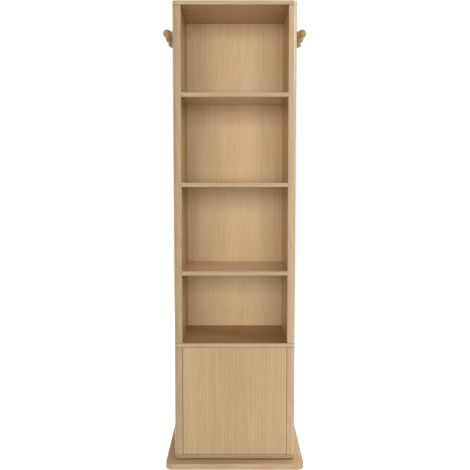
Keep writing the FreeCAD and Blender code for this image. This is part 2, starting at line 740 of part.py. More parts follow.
def make_door_panel():
    low = CUPBOARD_FLOOR + DOOR_REVEAL
    high = DECK_UNDERSIDE - DOOR_REVEAL
    door = block(-DOOR_HALF_WIDTH, DOOR_HALF_WIDTH, FRONT, DOOR_BACK, low, high)
    door = door.makeFillet(DOOR_EASE, door.Edges)
    radius = PIVOT_RADIUS + PIVOT_PLAY + BUSH_WALL + HOLE_PLAY
    cuts = [rod(radius, BUSH_LENGTH + HOLE_END_PLAY, place, inwards) for place, inwards in bush_seats()]
    strike_face = Vector(PLUNGER_X, DOOR_BACK + STRIKE_THICKNESS, LATCH_Z)
    cuts.append(aimed(countersunk_hole(STRIKE_SCREW_LENGTH), strike_face, BACKWARD))
    return door.cut(cuts)


def make_door_pivot_pins():
    pins = []
    for z, away in ((CUPBOARD_FLOOR, DOWN), (DECK_UNDERSIDE, UP)):
        start = Vector(PIVOT_X, PIVOT_Y, z) + away * (BOARD_HOLE_DEPTH - HOLE_END_PLAY)
        length = BOARD_HOLE_DEPTH - HOLE_END_PLAY + DOOR_REVEAL + PIVOT_REACH
        pin = rod(PIVOT_RADIUS, length, Vector(0, 0, 0), UP)
        pin = pin.makeChamfer(DOWEL_CHAMFER, rim_edges(pin, (0, length)))
        pins.append(aimed(pin, start, away * -1))
    return group(pins)


def make_door_pivot_bushes():
    """Plain bushes in the door's ends, whose thin flanges keep the door off the boards."""
    bushes = []
    bore = PIVOT_RADIUS + PIVOT_PLAY
    for place, inwards in bush_seats():
        sleeve = rod(bore + BUSH_WALL, BUSH_LENGTH, place, inwards)
        flange = rod(BUSH_FLANGE_RADIUS, BUSH_FLANGE, place - inwards * BUSH_FLANGE, inwards)
        hole = rod(bore, BUSH_LENGTH + BUSH_FLANGE, place - inwards * BUSH_FLANGE, inwards)
        bushes.append(sleeve.fuse(flange).cut(hole).removeSplitter())
    return group(bushes)


# ---------------------------------------------------------------- push latch
def latch_screw_places():
    ys = [LATCH_FRONT + LATCH_LENGTH * share for share in LATCH_SCREW_SHARES]
    rise = LATCH_HEIGHT / 2 + EAR_HEIGHT / 2
    return [(y, LATCH_Z + s * rise) for y in ys for s in (-1, 1)]


def latch_screw_hole(y, z):
    place = Vector(HALF_INSIDE - EAR_THICKNESS, y, z)
    return aimed(countersunk_hole(LATCH_SCREW_LENGTH), place, RIGHTWARD * -1)


def make_latch_body():
    """A block with a blind bore for the plunger, and ears that are screwed to the right side panel."""
    back = LATCH_FRONT + LATCH_LENGTH
    inner = HALF_INSIDE - LATCH_WIDTH
    half = LATCH_HEIGHT / 2
    body = block(inner, HALF_INSIDE, LATCH_FRONT, back, LATCH_Z - half, LATCH_Z + half)
    inner_edges = [e for e in body.Edges if all(abs(v.X - inner) < TOUCH for v in e.Vertexes)]
    long_edges = [e for e in inner_edges if abs(e.Length - LATCH_LENGTH) < TOUCH]
    body = body.makeFillet(LATCH_EASE, long_edges)
    tall = half + EAR_HEIGHT
    ears = block(HALF_INSIDE - EAR_THICKNESS, HALF_INSIDE, LATCH_FRONT, back, LATCH_Z - tall, LATCH_Z + tall)
    corner_edges = [e for e in ears.Edges if abs(e.Length - EAR_THICKNESS) < TOUCH]
    ears = ears.makeFillet(LATCH_EASE, corner_edges)
    mouth = Vector(PLUNGER_X, LATCH_FRONT, LATCH_Z)
    cuts = [rod(PLUNGER_RADIUS + PLUNGER_PLAY, LATCH_BORE_END - LATCH_FRONT, mouth, BACKWARD)]
    cuts += [latch_screw_hole(y, z) for y, z in latch_screw_places()]
    return body.fuse(ears).cut(cuts).removeSplitter()


def make_latch_screws():
    screw = countersunk_screw(LATCH_SCREW_LENGTH)
    x = HALF_INSIDE - EAR_THICKNESS
    return group([aimed(screw, Vector(x, y, z), RIGHTWARD * -1) for y, z in latch_screw_places()])


def make_latch_plunger():
    plunger = rod(PLUNGER_RADIUS, PLUNGER_LENGTH, Vector(PLUNGER_X, PLUNGER_TIP, LATCH_Z), BACKWARD)
    seat = rod(MAGNET_RADIUS + HOLE_PLAY, MAGNET_DEPTH, Vector(PLUNGER_X, PLUNGER_TIP, LATCH_Z), BACKWARD)
    return plunger.cut(seat)


def make_plunger_magnet():
    return rod(MAGNET_RADIUS, MAGNET_DEPTH, Vector(PLUNGER_X, PLUNGER_TIP, LATCH_Z), BACKWARD)


def make_latch_spring():
    """A coil spring between the plunger and the end of its bore, made of half rings tilted by its pitch."""
    room = LATCH_BORE_END - PLUNGER_END
    half_rise = (room - 2 * (SPRING_WIRE + SPRING_END_PLAY)) / SPRING_TURNS / 2
    ring_radius = math.hypot(SPRING_RADIUS, half_rise / 2)
    section = Part.Face(Part.Wire(Part.makeCircle(SPRING_WIRE, Vector(ring_radius, 0, 0), BACKWARD)))
    half_ring = section.revolve(Vector(0, 0, 0), UP, 180)
    half_ring.rotate(Vector(0, 0, 0), BACKWARD, math.degrees(math.asin(half_rise / 2 / ring_radius)))
    pieces = []
    for i in range(2 * SPRING_TURNS):
        piece = half_ring.copy()
        piece.rotate(Vector(0, 0, 0), UP, 180 * i)
        piece.translate(Vector(0, 0, (i + 0.5) * half_rise))
        pieces.append(piece)
    coil = pieces[0].fuse(pieces[1:])
    start = PLUNGER_END + SPRING_WIRE + SPRING_END_PLAY
    return aimed(coil, Vector(PLUNGER_X, start, LATCH_Z), BACKWARD)


def make_latch_strike():
    """The steel disc on the door's back that the magnet holds."""
    disc = rod(STRIKE_RADIUS, STRIKE_THICKNESS, Vector(PLUNGER_X, DOOR_BACK, LATCH_Z), BACKWARD)
    place = Vector(PLUNGER_X, DOOR_BACK + STRIKE_THICKNESS, LATCH_Z)
    return disc.cut(aimed(countersunk_hole(STRIKE_SCREW_LENGTH), place, BACKWARD))


def make_strike_screw():
    place = Vector(PLUNGER_X, DOOR_BACK + STRIKE_THICKNESS, LATCH_Z)
    return aimed(countersunk_screw(STRIKE_SCREW_LENGTH), place, BACKWARD)


# ---------------------------------------------------------------- coat pegs
def peg_solid():
    """A turned peg along +Z from its foot: a waisted neck and a flattened round knob."""
    foot = Vector(PEG_FOOT_RADIUS, 0, 0)
    waist = Vector(PEG_WAIST_RADIUS, 0, PEG_WAIST_AT)
    neck = Vector(PEG_NECK_RADIUS, 0, PEG_NECK_LENGTH)
    widest = Vector(PEG_KNOB_RADIUS, 0, PEG_KNOB_AT)
    nose = Vector(PEG_NOSE_RADIUS, 0, PEG_NOSE_AT)
    tip = Vector(0, 0, PEG_PROJECTION)
    # the knob's outline leaves the neck nearly square to the axis and closes square to it at the tip
    leaving = Vector(1, 0, KNOB_START_SLOPE)
    closing = Vector(-1, 0, 0)
    knob = Part.BSplineCurve()
    knob.interpolate([neck, widest, nose, tip], InitialTangent=leaving, FinalTangent=closing)
    outline = Part.Wire([
        Part.LineSegment(Vector(0, 0, 0), foot).toShape(),
        Part.Arc(foot, waist, neck).toShape(),
        knob.toShape(),
        Part.LineSegment(tip, Vector(0, 0, 0)).toShape(),
    ])
    solid = Part.Face(outline).revolve(Vector(0, 0, 0), UP, 360)
    return solid.cut(rod(STUD_RADIUS + HOLE_PLAY, STUD_IN_PEG + HOLE_END_PLAY, Vector(0, 0, 0), UP))


def make_peg(side, y):
    return aimed(peg_solid(), Vector(side * HALF_WIDTH, y, PEG_Z), RIGHTWARD * side)


def stud_hole(y):
    start = Vector(HALF_WIDTH - STUD_IN_PANEL - HOLE_END_PLAY, y, PEG_Z)
    return rod(STUD_RADIUS + HOLE_PLAY, STUD_IN_PANEL + HOLE_END_PLAY, start, RIGHTWARD)


def make_peg_studs(side):
    studs = []
    for _, y in PEG_ROWS:
        start = Vector(side * (HALF_WIDTH - STUD_IN_PANEL), y, PEG_Z)
        studs.append(rod(STUD_RADIUS, STUD_IN_PANEL + STUD_IN_PEG, start, RIGHTWARD * side))
    return group(studs)


# ---------------------------------------------------------------- the whole cabinet
def make_parts():
    parts = {
        "base_plate": make_base_plate(),
        "base_pads": make_base_pads(),
        "bearing_lower_plate": make_bearing_lower_plate(),
        "bearing_lower_screws": make_bearing_lower_screws(),
        "ball_cage": make_ball_cage(),
        "bearing_balls": make_bearing_balls(),
        "bearing_upper_plate": make_bearing_upper_plate(),
        "bearing_upper_screws": make_bearing_upper_screws(),
        "bottom_board": make_bottom_board(),
        "lower_side_left": make_lower_side_left(),
        "lower_side_right": make_lower_side_right(),
        "deck_board": make_deck_board(),
        "upper_side_left": make_upper_side_left(),
        "upper_side_right": make_upper_side_right(),
        "top_board": make_top_board(),
        "shelf_back_panel": make_shelf_back_panel(),
        "back_panel_screws": make_back_panel_screws(),
        "cupboard_back_panel": make_cupboard_back_panel(),
        "mirror_backing": make_mirror_backing(),
        "mirror_tape": make_mirror_tape(),
        "mirror_glass": make_mirror_glass(),
        "door_panel": make_door_panel(),
        "door_pivot_pins": make_door_pivot_pins(),
        "door_pivot_bushes": make_door_pivot_bushes(),
        "latch_body": make_latch_body(),
        "latch_screws": make_latch_screws(),
        "latch_plunger": make_latch_plunger(),
        "plunger_magnet": make_plunger_magnet(),
        "latch_spring": make_latch_spring(),
        "latch_strike": make_latch_strike(),
        "strike_screw": make_strike_screw(),
    }
    for name, z in zip(SHELF_NAMES, SHELF_UNDERSIDES):
        parts[name] = make_shelf(z)
        parts[name + "_dowels"] = group(shelf_dowels(z))
    joints = (
        ("bottom_board", LOWER_JOINTS[0], LOWER_DOWEL_Y, LOWER_CAM_Y),
        ("lower_deck", LOWER_JOINTS[1], LOWER_DOWEL_Y, LOWER_CAM_Y),
        ("upper_deck", UPPER_JOINTS[0], UPPER_DOWEL_Y, UPPER_CAM_Y),
        ("top_board", UPPER_JOINTS[1], UPPER_DOWEL_Y, UPPER_CAM_Y),
    )
    for name, (face, into_panel), dowel_depths, cam_depths in joints:
        parts[name + "_dowels"] = group(joint_dowels(face, into_panel, dowel_depths))
        parts[name + "_cams"] = group(joint_cams(face, into_panel, cam_depths))
        parts[name + "_cam_bolts"] = group(joint_cam_bolts(face, into_panel, cam_depths))
    for side_name, side in (("left", -1), ("right", 1)):
        for row, y in PEG_ROWS:
            parts[f"{side_name}_peg_{row}"] = make_peg(side, y)
        parts[side_name + "_peg_studs"] = make_peg_studs(side)
    return parts


os.makedirs("parts", exist_ok=True)
for node, shape in make_parts().items():
    shape.exportStep(f"parts/{node}.step")
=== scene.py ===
import math

import bmesh
import bpy
from bpy.props import FloatProperty, FloatVectorProperty, IntProperty, PointerProperty
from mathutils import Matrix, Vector


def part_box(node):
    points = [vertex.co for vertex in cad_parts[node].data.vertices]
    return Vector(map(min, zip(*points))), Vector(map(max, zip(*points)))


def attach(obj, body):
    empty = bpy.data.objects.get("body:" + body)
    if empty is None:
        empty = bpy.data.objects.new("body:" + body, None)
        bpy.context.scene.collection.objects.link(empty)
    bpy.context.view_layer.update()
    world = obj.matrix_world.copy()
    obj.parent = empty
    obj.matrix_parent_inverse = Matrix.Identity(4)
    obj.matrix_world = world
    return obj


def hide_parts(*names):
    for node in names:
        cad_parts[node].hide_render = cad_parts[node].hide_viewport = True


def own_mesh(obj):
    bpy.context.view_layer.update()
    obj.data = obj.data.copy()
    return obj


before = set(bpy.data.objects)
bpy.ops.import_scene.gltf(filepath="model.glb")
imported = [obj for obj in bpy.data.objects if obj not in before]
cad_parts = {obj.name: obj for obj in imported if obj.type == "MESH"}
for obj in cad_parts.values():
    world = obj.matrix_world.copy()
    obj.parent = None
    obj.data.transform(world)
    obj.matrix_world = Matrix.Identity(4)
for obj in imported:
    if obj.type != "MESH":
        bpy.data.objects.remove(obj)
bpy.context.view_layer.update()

bl_info = {
    "name": "Revolving Oak Cabinet",
    "version": (1, 0, 0),
    "blender": (4, 5, 0),
    "location": "View3D > Sidebar > Cabinet",
    "description": "Dresses a tall oak cabinet that turns on its base: veneer, mirror, pegs and fittings",
    "category": "Object",
}

MM = 0.001
UP = (0, 0, 1)
QUARTER_TURN = math.pi / 2


def shade(red, green, blue):
    """A linear colour from display values of 0 to 255."""
    return tuple(
        c / 12.92 if c <= 0.04045 else ((c + 0.055) / 1.055) ** 2.4
        for c in (red / 255, green / 255, blue / 255)
    )


def opaque(value):
    return (*value, 1.0)


def tinted(value, tint):
    return tuple(part * share_of for part, share_of in zip(value, tint))


# colours that no setting holds
WHITE = (1, 1, 1, 1)
BLACK = (0, 0, 0, 1)
PORE_STAIN = (0.42, 0.34, 0.27, 1)
DULLED = (0.55, 0.55, 0.55, 1)
# paler oak for rubbed edges: partly wear, partly a painted highlight on the arrises
RUBBED_AND_HIGHLIT_OAK = opaque(shade(232, 208, 172))
# dark brown of the painted shade lines along the joints
JOINT_SHADE_BROWN = opaque(shade(92, 66, 38))
DEEP_BEECH = shade(176, 140, 100)
ZINC = shade(196, 192, 176)
FLOOR_GRIT = opaque(shade(196, 196, 195))


# ---------------------------------------------------------------- settings a user would change
def number(name, text, value, least=0.0, **kind):
    return FloatProperty(name=name, description=text, default=value, min=least, **kind)


def length(name, text, millimetres):
    return number(name, text, millimetres * MM, unit="LENGTH")


def share(name, text, value):
    return number(name, text, value, max=1.0, subtype="FACTOR")


def watts(name, text, value):
    return number(name, text, value, unit="POWER")


def count(name, text, value, least):
    return IntProperty(name=name, description=text, default=value, min=least)


def colour(name, text, *value):
    return FloatVectorProperty(
        name=name, description=text, default=shade(*value), size=3, min=0.0, max=1.0, subtype="COLOR")


class CabinetSizes(bpy.types.PropertyGroup):
    """Shapes of the boards, the door and the mirror."""

    corner_radius: length("Corner Radius", "Plan radius of the boards' and side panels' outer corners", 16)
    inner_arris: length("Inner Arris", "Radius of the side panels' inner upright edges", 1.5)
    board_ease: length("Board Ease", "Radius of the boards' eased edges", 1)
    base_corner_radius: length("Base Corner Radius", "Plan radius of the base plate's corners", 26)
    base_ease: length("Base Ease", "Radius of the base plate's eased edges", 1.5)
    door_ease: length("Door Ease", "Radius of the door's eased edges", 2)
    groove_play: length("Groove Play", "Room between a thin panel and the sides of its groove", 0.1)
    groove_end_play: length("Groove End Play", "Room past a thin panel's edge in its groove", 0.5)
    drill_play: length("Drill Play", "Room round what sits in a drilled pocket", 0.1)
    mirror_bevel: length("Mirror Bevel", "Width of the polished bevel round the mirror's face", 1)
    recess_play: length("Recess Play", "Room round the bearing in its recess in the base plate", 0.5)
    recess_corner: length("Recess Corner", "Plan radius of the recess's corners", 12)
    pad_radius: length("Pad Radius", "Radius of the base plate's round pads", 15)
    access_hole_radius: length("Access Hole", "Radius of the hole for driving the bearing's upper screws", 8)
    access_hole_at: length("Access Hole At", "Distance from the turning axis to the access hole", 178.045)
    corner_steps: count("Corner Steps", "Steps in a quarter-round corner", 12, 3)
    arris_steps: count("Arris Steps", "Steps in the side panels' inner upright edges", 4, 1)


class PegSizes(bpy.types.PropertyGroup):
    """Shape of one turned coat peg."""

    foot_radius: length("Foot Radius", "Radius where the peg meets the side panel", 10.5)
    waist_radius: length("Waist Radius", "Smallest radius of the neck", 8.5)
    waist_at: length("Waist At", "Distance from the side panel to the waist", 9)
    neck_radius: length("Neck Radius", "Radius of the neck where the knob starts", 10)
    neck_length: length("Neck Length", "Distance from the side panel to the knob", 17)
    knob_at: length("Knob At", "Distance from the side panel to the knob's widest ring", 26)
    round_steps: count("Round Steps", "Steps around the peg", 48, 8)


class LatchSizes(bpy.types.PropertyGroup):
    """Shape of the latch's coil spring."""

    spring_wire: length("Spring Wire", "Radius of the spring's wire", 0.35)
    spring_turns: number("Spring Turns", "Turns in the spring", 9.0, 1.0)
    spring_steps: count("Turn Steps", "Steps in one turn of the spring", 32, 8)
    wire_steps: count("Wire Steps", "Steps around the spring's wire", 10, 6)


class CabinetFinish(bpy.types.PropertyGroup):
    """Colours and figure of the wood."""

    oak_pale: colour("Pale Oak", "Early wood of the oak veneer", 202, 175, 137)
    oak_deep: colour("Deep Oak", "Late wood of the oak veneer", 173, 142, 100)
    peg_pale: colour("Pale Peg Oak", "Early wood of the turned pegs", 188, 157, 108)
    peg_deep: colour("Deep Peg Oak", "Late wood of the turned pegs", 142, 110, 66)
    beech: colour("Beech", "Dowels", 205, 172, 132)
    figure: share("Figure", "Contrast of the growth rings", 0.42)
    streaks: share("Streaks", "Contrast of the long streaks", 0.5)
    pores: share("Pores", "Darkness of the pores", 0.3)
    # paleness of the rubbed edges: partly wear, partly a painted highlight
    edge_wear: share("Wear And Highlight", "Paleness of the rubbed edges", 0.2)
    # darkness of the painted shade lines along the joints
    joint_shade_lines: share("Joint Shade Lines", "Darkness of the joints between the boards", 0.65)


class StudioSettings(bpy.types.PropertyGroup):
    """Camera, lamps and floor."""

    lens: number("Lens", "Focal length in millimetres", 55.65, 10, unit="CAMERA")
    camera_place: FloatVectorProperty(
        name="Camera Place", description="Where the camera stands",
        default=(0.0011, -2.866, 1.0866), size=3, unit="LENGTH")
    camera_pitch: number(
        "Camera Pitch", "How far the camera looks down", math.radians(4.56), -QUARTER_TURN, subtype="ANGLE")
    front_power: watts("Front Power", "Power of the softbox in front", 310)
    side_power: watts("Side Power", "Power of the lamp high at the right", 46)
    edge_power: watts("Edge Power", "Power of the softbox that glints on edges", 50)
    left_power: watts("Left Power", "Power of the low fill at the left", 76)
    rear_power: watts("Rear Power", "Power of the softbox behind", 140)
    sky_strength: number("Sky Strength", "Even light from all round", 0.02)
    floor_colour: colour("Floor", "Colour of the floor", 172, 172, 171)
    floor_glow: share("Floor Glow", "What brings the floor to white in the render", 0.9)


# ---------------------------------------------------------------- node helpers
def fill(tree, made, inputs):
    """Gives a node its inputs, each a value or another node's output socket."""
    for key, value in inputs.items():
        if isinstance(value, bpy.types.NodeSocket):
            tree.links.new(value, made.inputs[key])
        else:
            made.inputs[key].default_value = value
    return made


def node(tree, kind, inputs, **settings):
    """Adds a node with its settings and inputs."""
    made = tree.nodes.new(kind)
    for key, value in settings.items():
        setattr(made, key, value)
    return fill(tree, made, inputs)


def new_tree(name, kind, takes, gives):
    """A node tree with named sockets of given types, and the sockets inside it at its two ends."""
    tree = bpy.data.node_groups.new(name, kind)
    for way, sockets in (("INPUT", takes), ("OUTPUT", gives)):
        for socket, value in sockets.items():
            tree.interface.new_socket(socket, in_out=way, socket_type="NodeSocket" + value)
    return tree, tree.nodes.new("NodeGroupInput").outputs, tree.nodes.new("NodeGroupOutput").inputs


def reckon(tree, operation, first, second=0.0, clamp=False):
    """The output of a Math node."""
    made = node(tree, "ShaderNodeMath", {0: first, 1: second}, operation=operation, use_clamp=clamp)
    return made.outputs[0]


def times(tree, first, second):
    return reckon(tree, "MULTIPLY", first, second)


def minus(tree, first, second):
    return reckon(tree, "SUBTRACT", first, second)


def total(tree, first, *others):
    for other in others:
        first = reckon(tree, "ADD", first, other)
    return first


def vector_math(tree, operation, *vectors):
    """The vector that a Vector Math node puts out."""
    return node(tree, "ShaderNodeVectorMath", dict(enumerate(vectors)), operation=operation).outputs[0]


def apart(tree, vector):
    """The three parts of a vector."""
    return node(tree, "ShaderNodeSeparateXYZ", {"Vector": vector}).outputs


def mix_colours(tree, factor, first, second, way="MIX"):
    made = node(tree, "ShaderNodeMix", {0: factor, 6: first, 7: second}, data_type="RGBA", blend_type=way)
    return made.outputs[2]


def spread(tree, value, low, high, to_low=0.0, to_high=1.0):
    """A value mapped smoothly from one range to another, and kept inside it."""
    made = node(
        tree, "ShaderNodeMapRange",
        {"Value": value, "From Min": low, "From Max": high, "To Min": to_low, "To Max": to_high},
        interpolation_type="SMOOTHSTEP")
    return made.outputs["Result"]


def noise(tree, vector, scale, detail=2.0, roughness=0.5):
    made = node(tree, "ShaderNodeTexNoise",
                {"Vector": vector, "Scale": scale, "Detail": detail, "Roughness": roughness})
    return made.outputs["Fac"]


def drawn_out(tree, vector, along, *settings):
    """Noise that runs along the grain, which is Z."""
    return noise(tree, vector_math(tree, "MULTIPLY", vector, (1.0, 1.0, along)), *settings)


# ---------------------------------------------------------------- shared surface effects
# how far the log's heart leans away from a board in each metre along it
HEART_LEAN = 0.06
# how far it sways in metres, and how much of that shows across the board
HEART_SWAY = 0.09
SIDE_SWAY = 0.6
# growth rings as radians in each metre from the heart, and how far ripples shift them
RINGS = 520.0
RIPPLE = 4.0
# noises in the wood: how far each is drawn out along the grain, its scale, detail and roughness
SWAYS = (0.25, 7.0, 2.0)
RIPPLES = (0.06, 60.0, 3.0)
LEAVES = (0.08, 11.0, 2.0)
STREAKS = (0.035, 130.0, 4.0, 0.65)
FIBRES = (0.03, 900.0, 2.0)
DASHES = (0.06, 1500.0, 1.0)
# how much each moves the wood's tone, and the tone that they move it from
LEAF_SHARE = 0.9
STREAK_SHARE = 1.7
RING_SHARE = 0.35
FIBRE_SHARE = 0.5
MIDDLE_TONE = 0.6
# pores: the ring's values from late to early wood, the thresholds there, and how softly a pore starts
LATE_TO_EARLY = (-0.6, 0.9)
SPARSE_TO_CROWDED = (0.66, 0.6)
PORE_EDGE = 0.06
# roughness of the wood, and what pores and streaks add to it
WOOD_ROUGHNESS = 0.48
PORE_ROUGHNESS = 0.2
STREAK_ROUGHNESS = 0.12
# cosines of the turn at which an edge starts to look rubbed, with its painted highlight, and is fully so
RUBBED_TURNS = (0.995, 0.85)


def wood_grain_group():
    """Growth rings cut by the board's plane, long streaks, fibres and pores, with the grain along Z."""
    tree, given, result = new_tree(
        "wood_grain", "ShaderNodeTree",
        {"Vector": "Vector", "Pale": "Color", "Deep": "Color", "Figure": "Float", "Streaks": "Float",
         "Pores": "Float"},
        {"Color": "Color", "Roughness": "Float", "Height": "Float"})
    place = given["Vector"]
    axes = apart(tree, place)
    # distance from the log's heart, which leans away from the board, so that its rings are cut as arches
    sway = times(tree, minus(tree, drawn_out(tree, place, *SWAYS), 0.5), HEART_SWAY)
    depth = total(tree, axes["Y"], times(tree, axes["Z"], HEART_LEAN), sway)
    side = total(tree, axes["X"], times(tree, sway, SIDE_SWAY))
    radius = reckon(tree, "SQRT", total(
        tree, reckon(tree, "POWER", side, 2.0), reckon(tree, "POWER", depth, 2.0)))
    ripple = times(tree, drawn_out(tree, place, *RIPPLES), RIPPLE)
    ring = reckon(tree, "SINE", total(tree, times(tree, radius, RINGS), ripple))
    # tone of the veneer leaf, streaks a few millimetres wide and fibres under a millimetre
    leaf, streak, fibre = (
        minus(tree, drawn_out(tree, place, *kind), 0.5) for kind in (LEAVES, STREAKS, FIBRES))
    tone = total(
        tree, times(tree, leaf, LEAF_SHARE),
        times(tree, streak, times(tree, given["Streaks"], STREAK_SHARE)),
        times(tree, ring, times(tree, given["Figure"], RING_SHARE)),
        times(tree, fibre, FIBRE_SHARE))
    tone = reckon(tree, "ADD", tone, MIDDLE_TONE, clamp=True)
    base = mix_colours(tree, tone, given["Deep"], given["Pale"])
    # pores: short dark dashes, crowded in the early wood
    crowd = spread(tree, ring, *LATE_TO_EARLY, *SPARSE_TO_CROWDED)
    pore = spread(tree, minus(tree, drawn_out(tree, place, *DASHES), crowd), 0.0, PORE_EDGE)
    dark = mix_colours(tree, 1.0, base, PORE_STAIN, "MULTIPLY")
    dull = total(
        tree, times(tree, pore, PORE_ROUGHNESS), times(tree, streak, STREAK_ROUGHNESS), WOOD_ROUGHNESS)
    tree.links.new(mix_colours(tree, times(tree, pore, given["Pores"]), base, dark), result["Color"])
    tree.links.new(dull, result["Roughness"])
    tree.links.new(minus(tree, times(tree, fibre, 0.5), pore), result["Height"])
    return tree


def wear_and_highlight_group():
    """A mask that is 1 along rubbed edges, broken up so that it looks handled; the paleness it brings is
    partly wear and partly a painted highlight.
    """
    tree, given, result = new_tree(
        "edge_wear", "ShaderNodeTree", {"Width": "Float", "Vector": "Vector"}, {"Mask": "Float"})
    soft = node(tree, "ShaderNodeBevel", {"Radius": given["Width"]}, samples=4)
    flat = node(tree, "ShaderNodeNewGeometry", {})
    turned = node(tree, "ShaderNodeVectorMath", {0: soft.outputs[0], 1: flat.outputs["Normal"]},
                  operation="DOT_PRODUCT")
    bent = spread(tree, turned.outputs["Value"], *RUBBED_TURNS)
    patches = spread(tree, noise(tree, given["Vector"], scale=45.0, detail=3.0), 0.35, 0.65, 0.4, 1.0)
    tree.links.new(times(tree, bent, patches), result["Mask"])
    return tree


def joint_shade_line_group():
    """A mask that is 1 where the side panels meet the cross boards, for a painted shade line along each
    joint.
    """
    tree, given, result = new_tree(
        "joint_line", "ShaderNodeTree", {"Vector": "Vector", "Width": "Float"}, {"Mask": "Float"})
    axes = apart(tree, given["Vector"])
    mask = 0.0
    for joint in (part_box("bottom_board")[1], *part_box("deck_board"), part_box("top_board")[0]):
        away = reckon(tree, "ABSOLUTE", minus(tree, axes["Z"], joint.z))
        mask = reckon(tree, "MAXIMUM", mask, reckon(tree, "LESS_THAN", away, given["Width"]))
    inner = reaches("upper_side_right")[1]
    in_side = reckon(tree, "GREATER_THAN", reckon(tree, "ABSOLUTE", axes["X"]), inner)
    tree.links.new(times(tree, mask, in_side), result["Mask"])
    return tree


def speckle_group():
    """Fine uneven tone and a low bump, for metal, plastic and rubber."""
    tree, given, result = new_tree(
        "speckle", "ShaderNodeTree",
        {"Vector": "Vector", "Scale": "Float", "Color": "Color", "Depth": "Float"},
        {"Color": "Color", "Mask": "Float", "Height": "Float"})
    fine = noise(tree, given["Vector"], given["Scale"], detail=3.0)
    broad = noise(tree, given["Vector"], scale=35.0, detail=3.0)
    mask = total(tree, times(tree, fine, 0.5), times(tree, broad, 0.5))
    worn = mix_colours(tree, 1.0, given["Color"], DULLED, "MULTIPLY")
    amount = times(tree, spread(tree, mask, 0.35, 0.65), given["Depth"])
    tree.links.new(mix_colours(tree, amount, given["Color"], worn), result["Color"])
    tree.links.new(mask, result["Mask"])
    tree.links.new(fine, result["Height"])
    return tree


EFFECTS = {
    "wood_grain": wood_grain_group,
    "edge_wear": wear_and_highlight_group,
    "joint_line": joint_shade_line_group,
    "speckle": speckle_group,
}


def effect(tree, name, inputs):
    """What a shared effect puts out in a material. Its group is built once."""
    group = bpy.data.node_groups.get(name) or EFFECTS[name]()
    return node(tree, "ShaderNodeGroup", inputs, node_tree=group).outputs


# ---------------------------------------------------------------- finishes
GRAIN_UP = (0.0, 0.0, 0.0)
GRAIN_ALONG_X = (0.0, QUARTER_TURN, 0.0)

# gloss of the wood itself and of the coat over it
OILED = (0.1, 0.0)
MATT = (0.4, 0.1)
SATIN = (0.4, 0.65)
GLOSSED = (0.4, 0.9)
COAT_ROUGHNESS = 0.15

# thickness of the strips on the boards' edges, and of the skin on the side panels' inner faces that carries
# painted shade
STRIP = 1.2 * MM
# widths of the rubbed edges, pale with wear and a painted highlight, and of the painted shade lines at the
# joints
WEAR_AND_HIGHLIGHT_WIDTH = 1.6 * MM
JOINT_SHADE_WIDTH = 0.8 * MM


def blank_material(name):
    """A material with its shader and the object's coordinates."""
    made = bpy.data.materials.new(name)
    made.use_nodes = True
    tree = made.node_tree
    where = node(tree, "ShaderNodeTexCoord", {}).outputs["Object"]
    return made, tree, tree.nodes["Principled BSDF"], where


def bump(tree, height, depth, strength):
    made = node(tree, "ShaderNodeBump", {"Height": height, "Distance": depth, "Strength": strength})
    return made.outputs["Normal"]


def beyond(tree, where, reach_x, reach_y, corner):
    """1 outside a round-cornered plan about the turning axis, given by its reaches and radius, else 0."""
    axes = apart(tree, where)
    squares = []
    for axis, reach in (("X", reach_x), ("Y", reach_y)):
        past = minus(tree, reckon(tree, "ABSOLUTE", axes[axis]), reach - corner)
        squares.append(reckon(tree, "POWER", reckon(tree, "MAXIMUM", past, 0.0), 2.0))
    return reckon(tree, "GREATER_THAN", total(tree, *squares), corner ** 2)


def wood(name, pale, deep, grain, heart, wear=True, sheen=MATT, inner=None, figure=1.0):
    """Lacquered wood, cut at its own place in the log, with its grain up or along X.

    inner is the tint, which paints light and shade on the inner faces, their coat, and the plan outside which
    the edges keep the plain colours.
    """
    finish = bpy.context.scene.cabinet_finish
    made, tree, shader, where = blank_material(name)
    gloss, coat = sheen
    leaf_tones_and_shade = opaque(pale), opaque(deep)
    # the inner faces take a tint that paints shade on them, and light on the shelves' faces
    if inner:
        tint, inner_coat, *plan = inner
        outer = beyond(tree, where, *plan)
        leaf_tones_and_shade = [mix_colours(tree, outer, tinted(leaf, opaque(tint)), leaf) for leaf in leaf_tones_and_shade]
        if inner_coat != coat:
            coat = spread(tree, outer, 0.0, 1.0, inner_coat, coat)
    cut = node(tree, "ShaderNodeMapping", {"Vector": where, "Location": heart, "Rotation": grain})
    look = effect(tree, "wood_grain", {
        "Vector": cut.outputs["Vector"], "Pale": leaf_tones_and_shade[0], "Deep": leaf_tones_and_shade[1],
        "Figure": figure * finish.figure, "Streaks": finish.streaks, "Pores": finish.pores})
    surface = look["Color"]
    # paler rubbed edges: partly wear, partly a painted highlight on the arrises
    if wear:
        rubbed = effect(tree, "edge_wear", {"Vector": where, "Width": WEAR_AND_HIGHLIGHT_WIDTH})["Mask"]
        surface = mix_colours(tree, times(tree, rubbed, finish.edge_wear), surface, RUBBED_AND_HIGHLIT_OAK)
    # painted shade lines along the joints between the side panels and the cross boards
    if inner:
        joint = effect(tree, "joint_line", {"Vector": where, "Width": JOINT_SHADE_WIDTH})["Mask"]
        surface = mix_colours(tree, times(tree, joint, finish.joint_shade_lines), surface, JOINT_SHADE_BROWN)
    fill(tree, shader, {
        "Base Color": surface,
        "Roughness": look["Roughness"],
        "Specular IOR Level": gloss,
        "Coat Weight": coat,
        "Coat Roughness": COAT_ROUGHNESS,
        "Normal": bump(tree, look["Height"], depth=0.05 * MM, strength=0.5)})
    return made


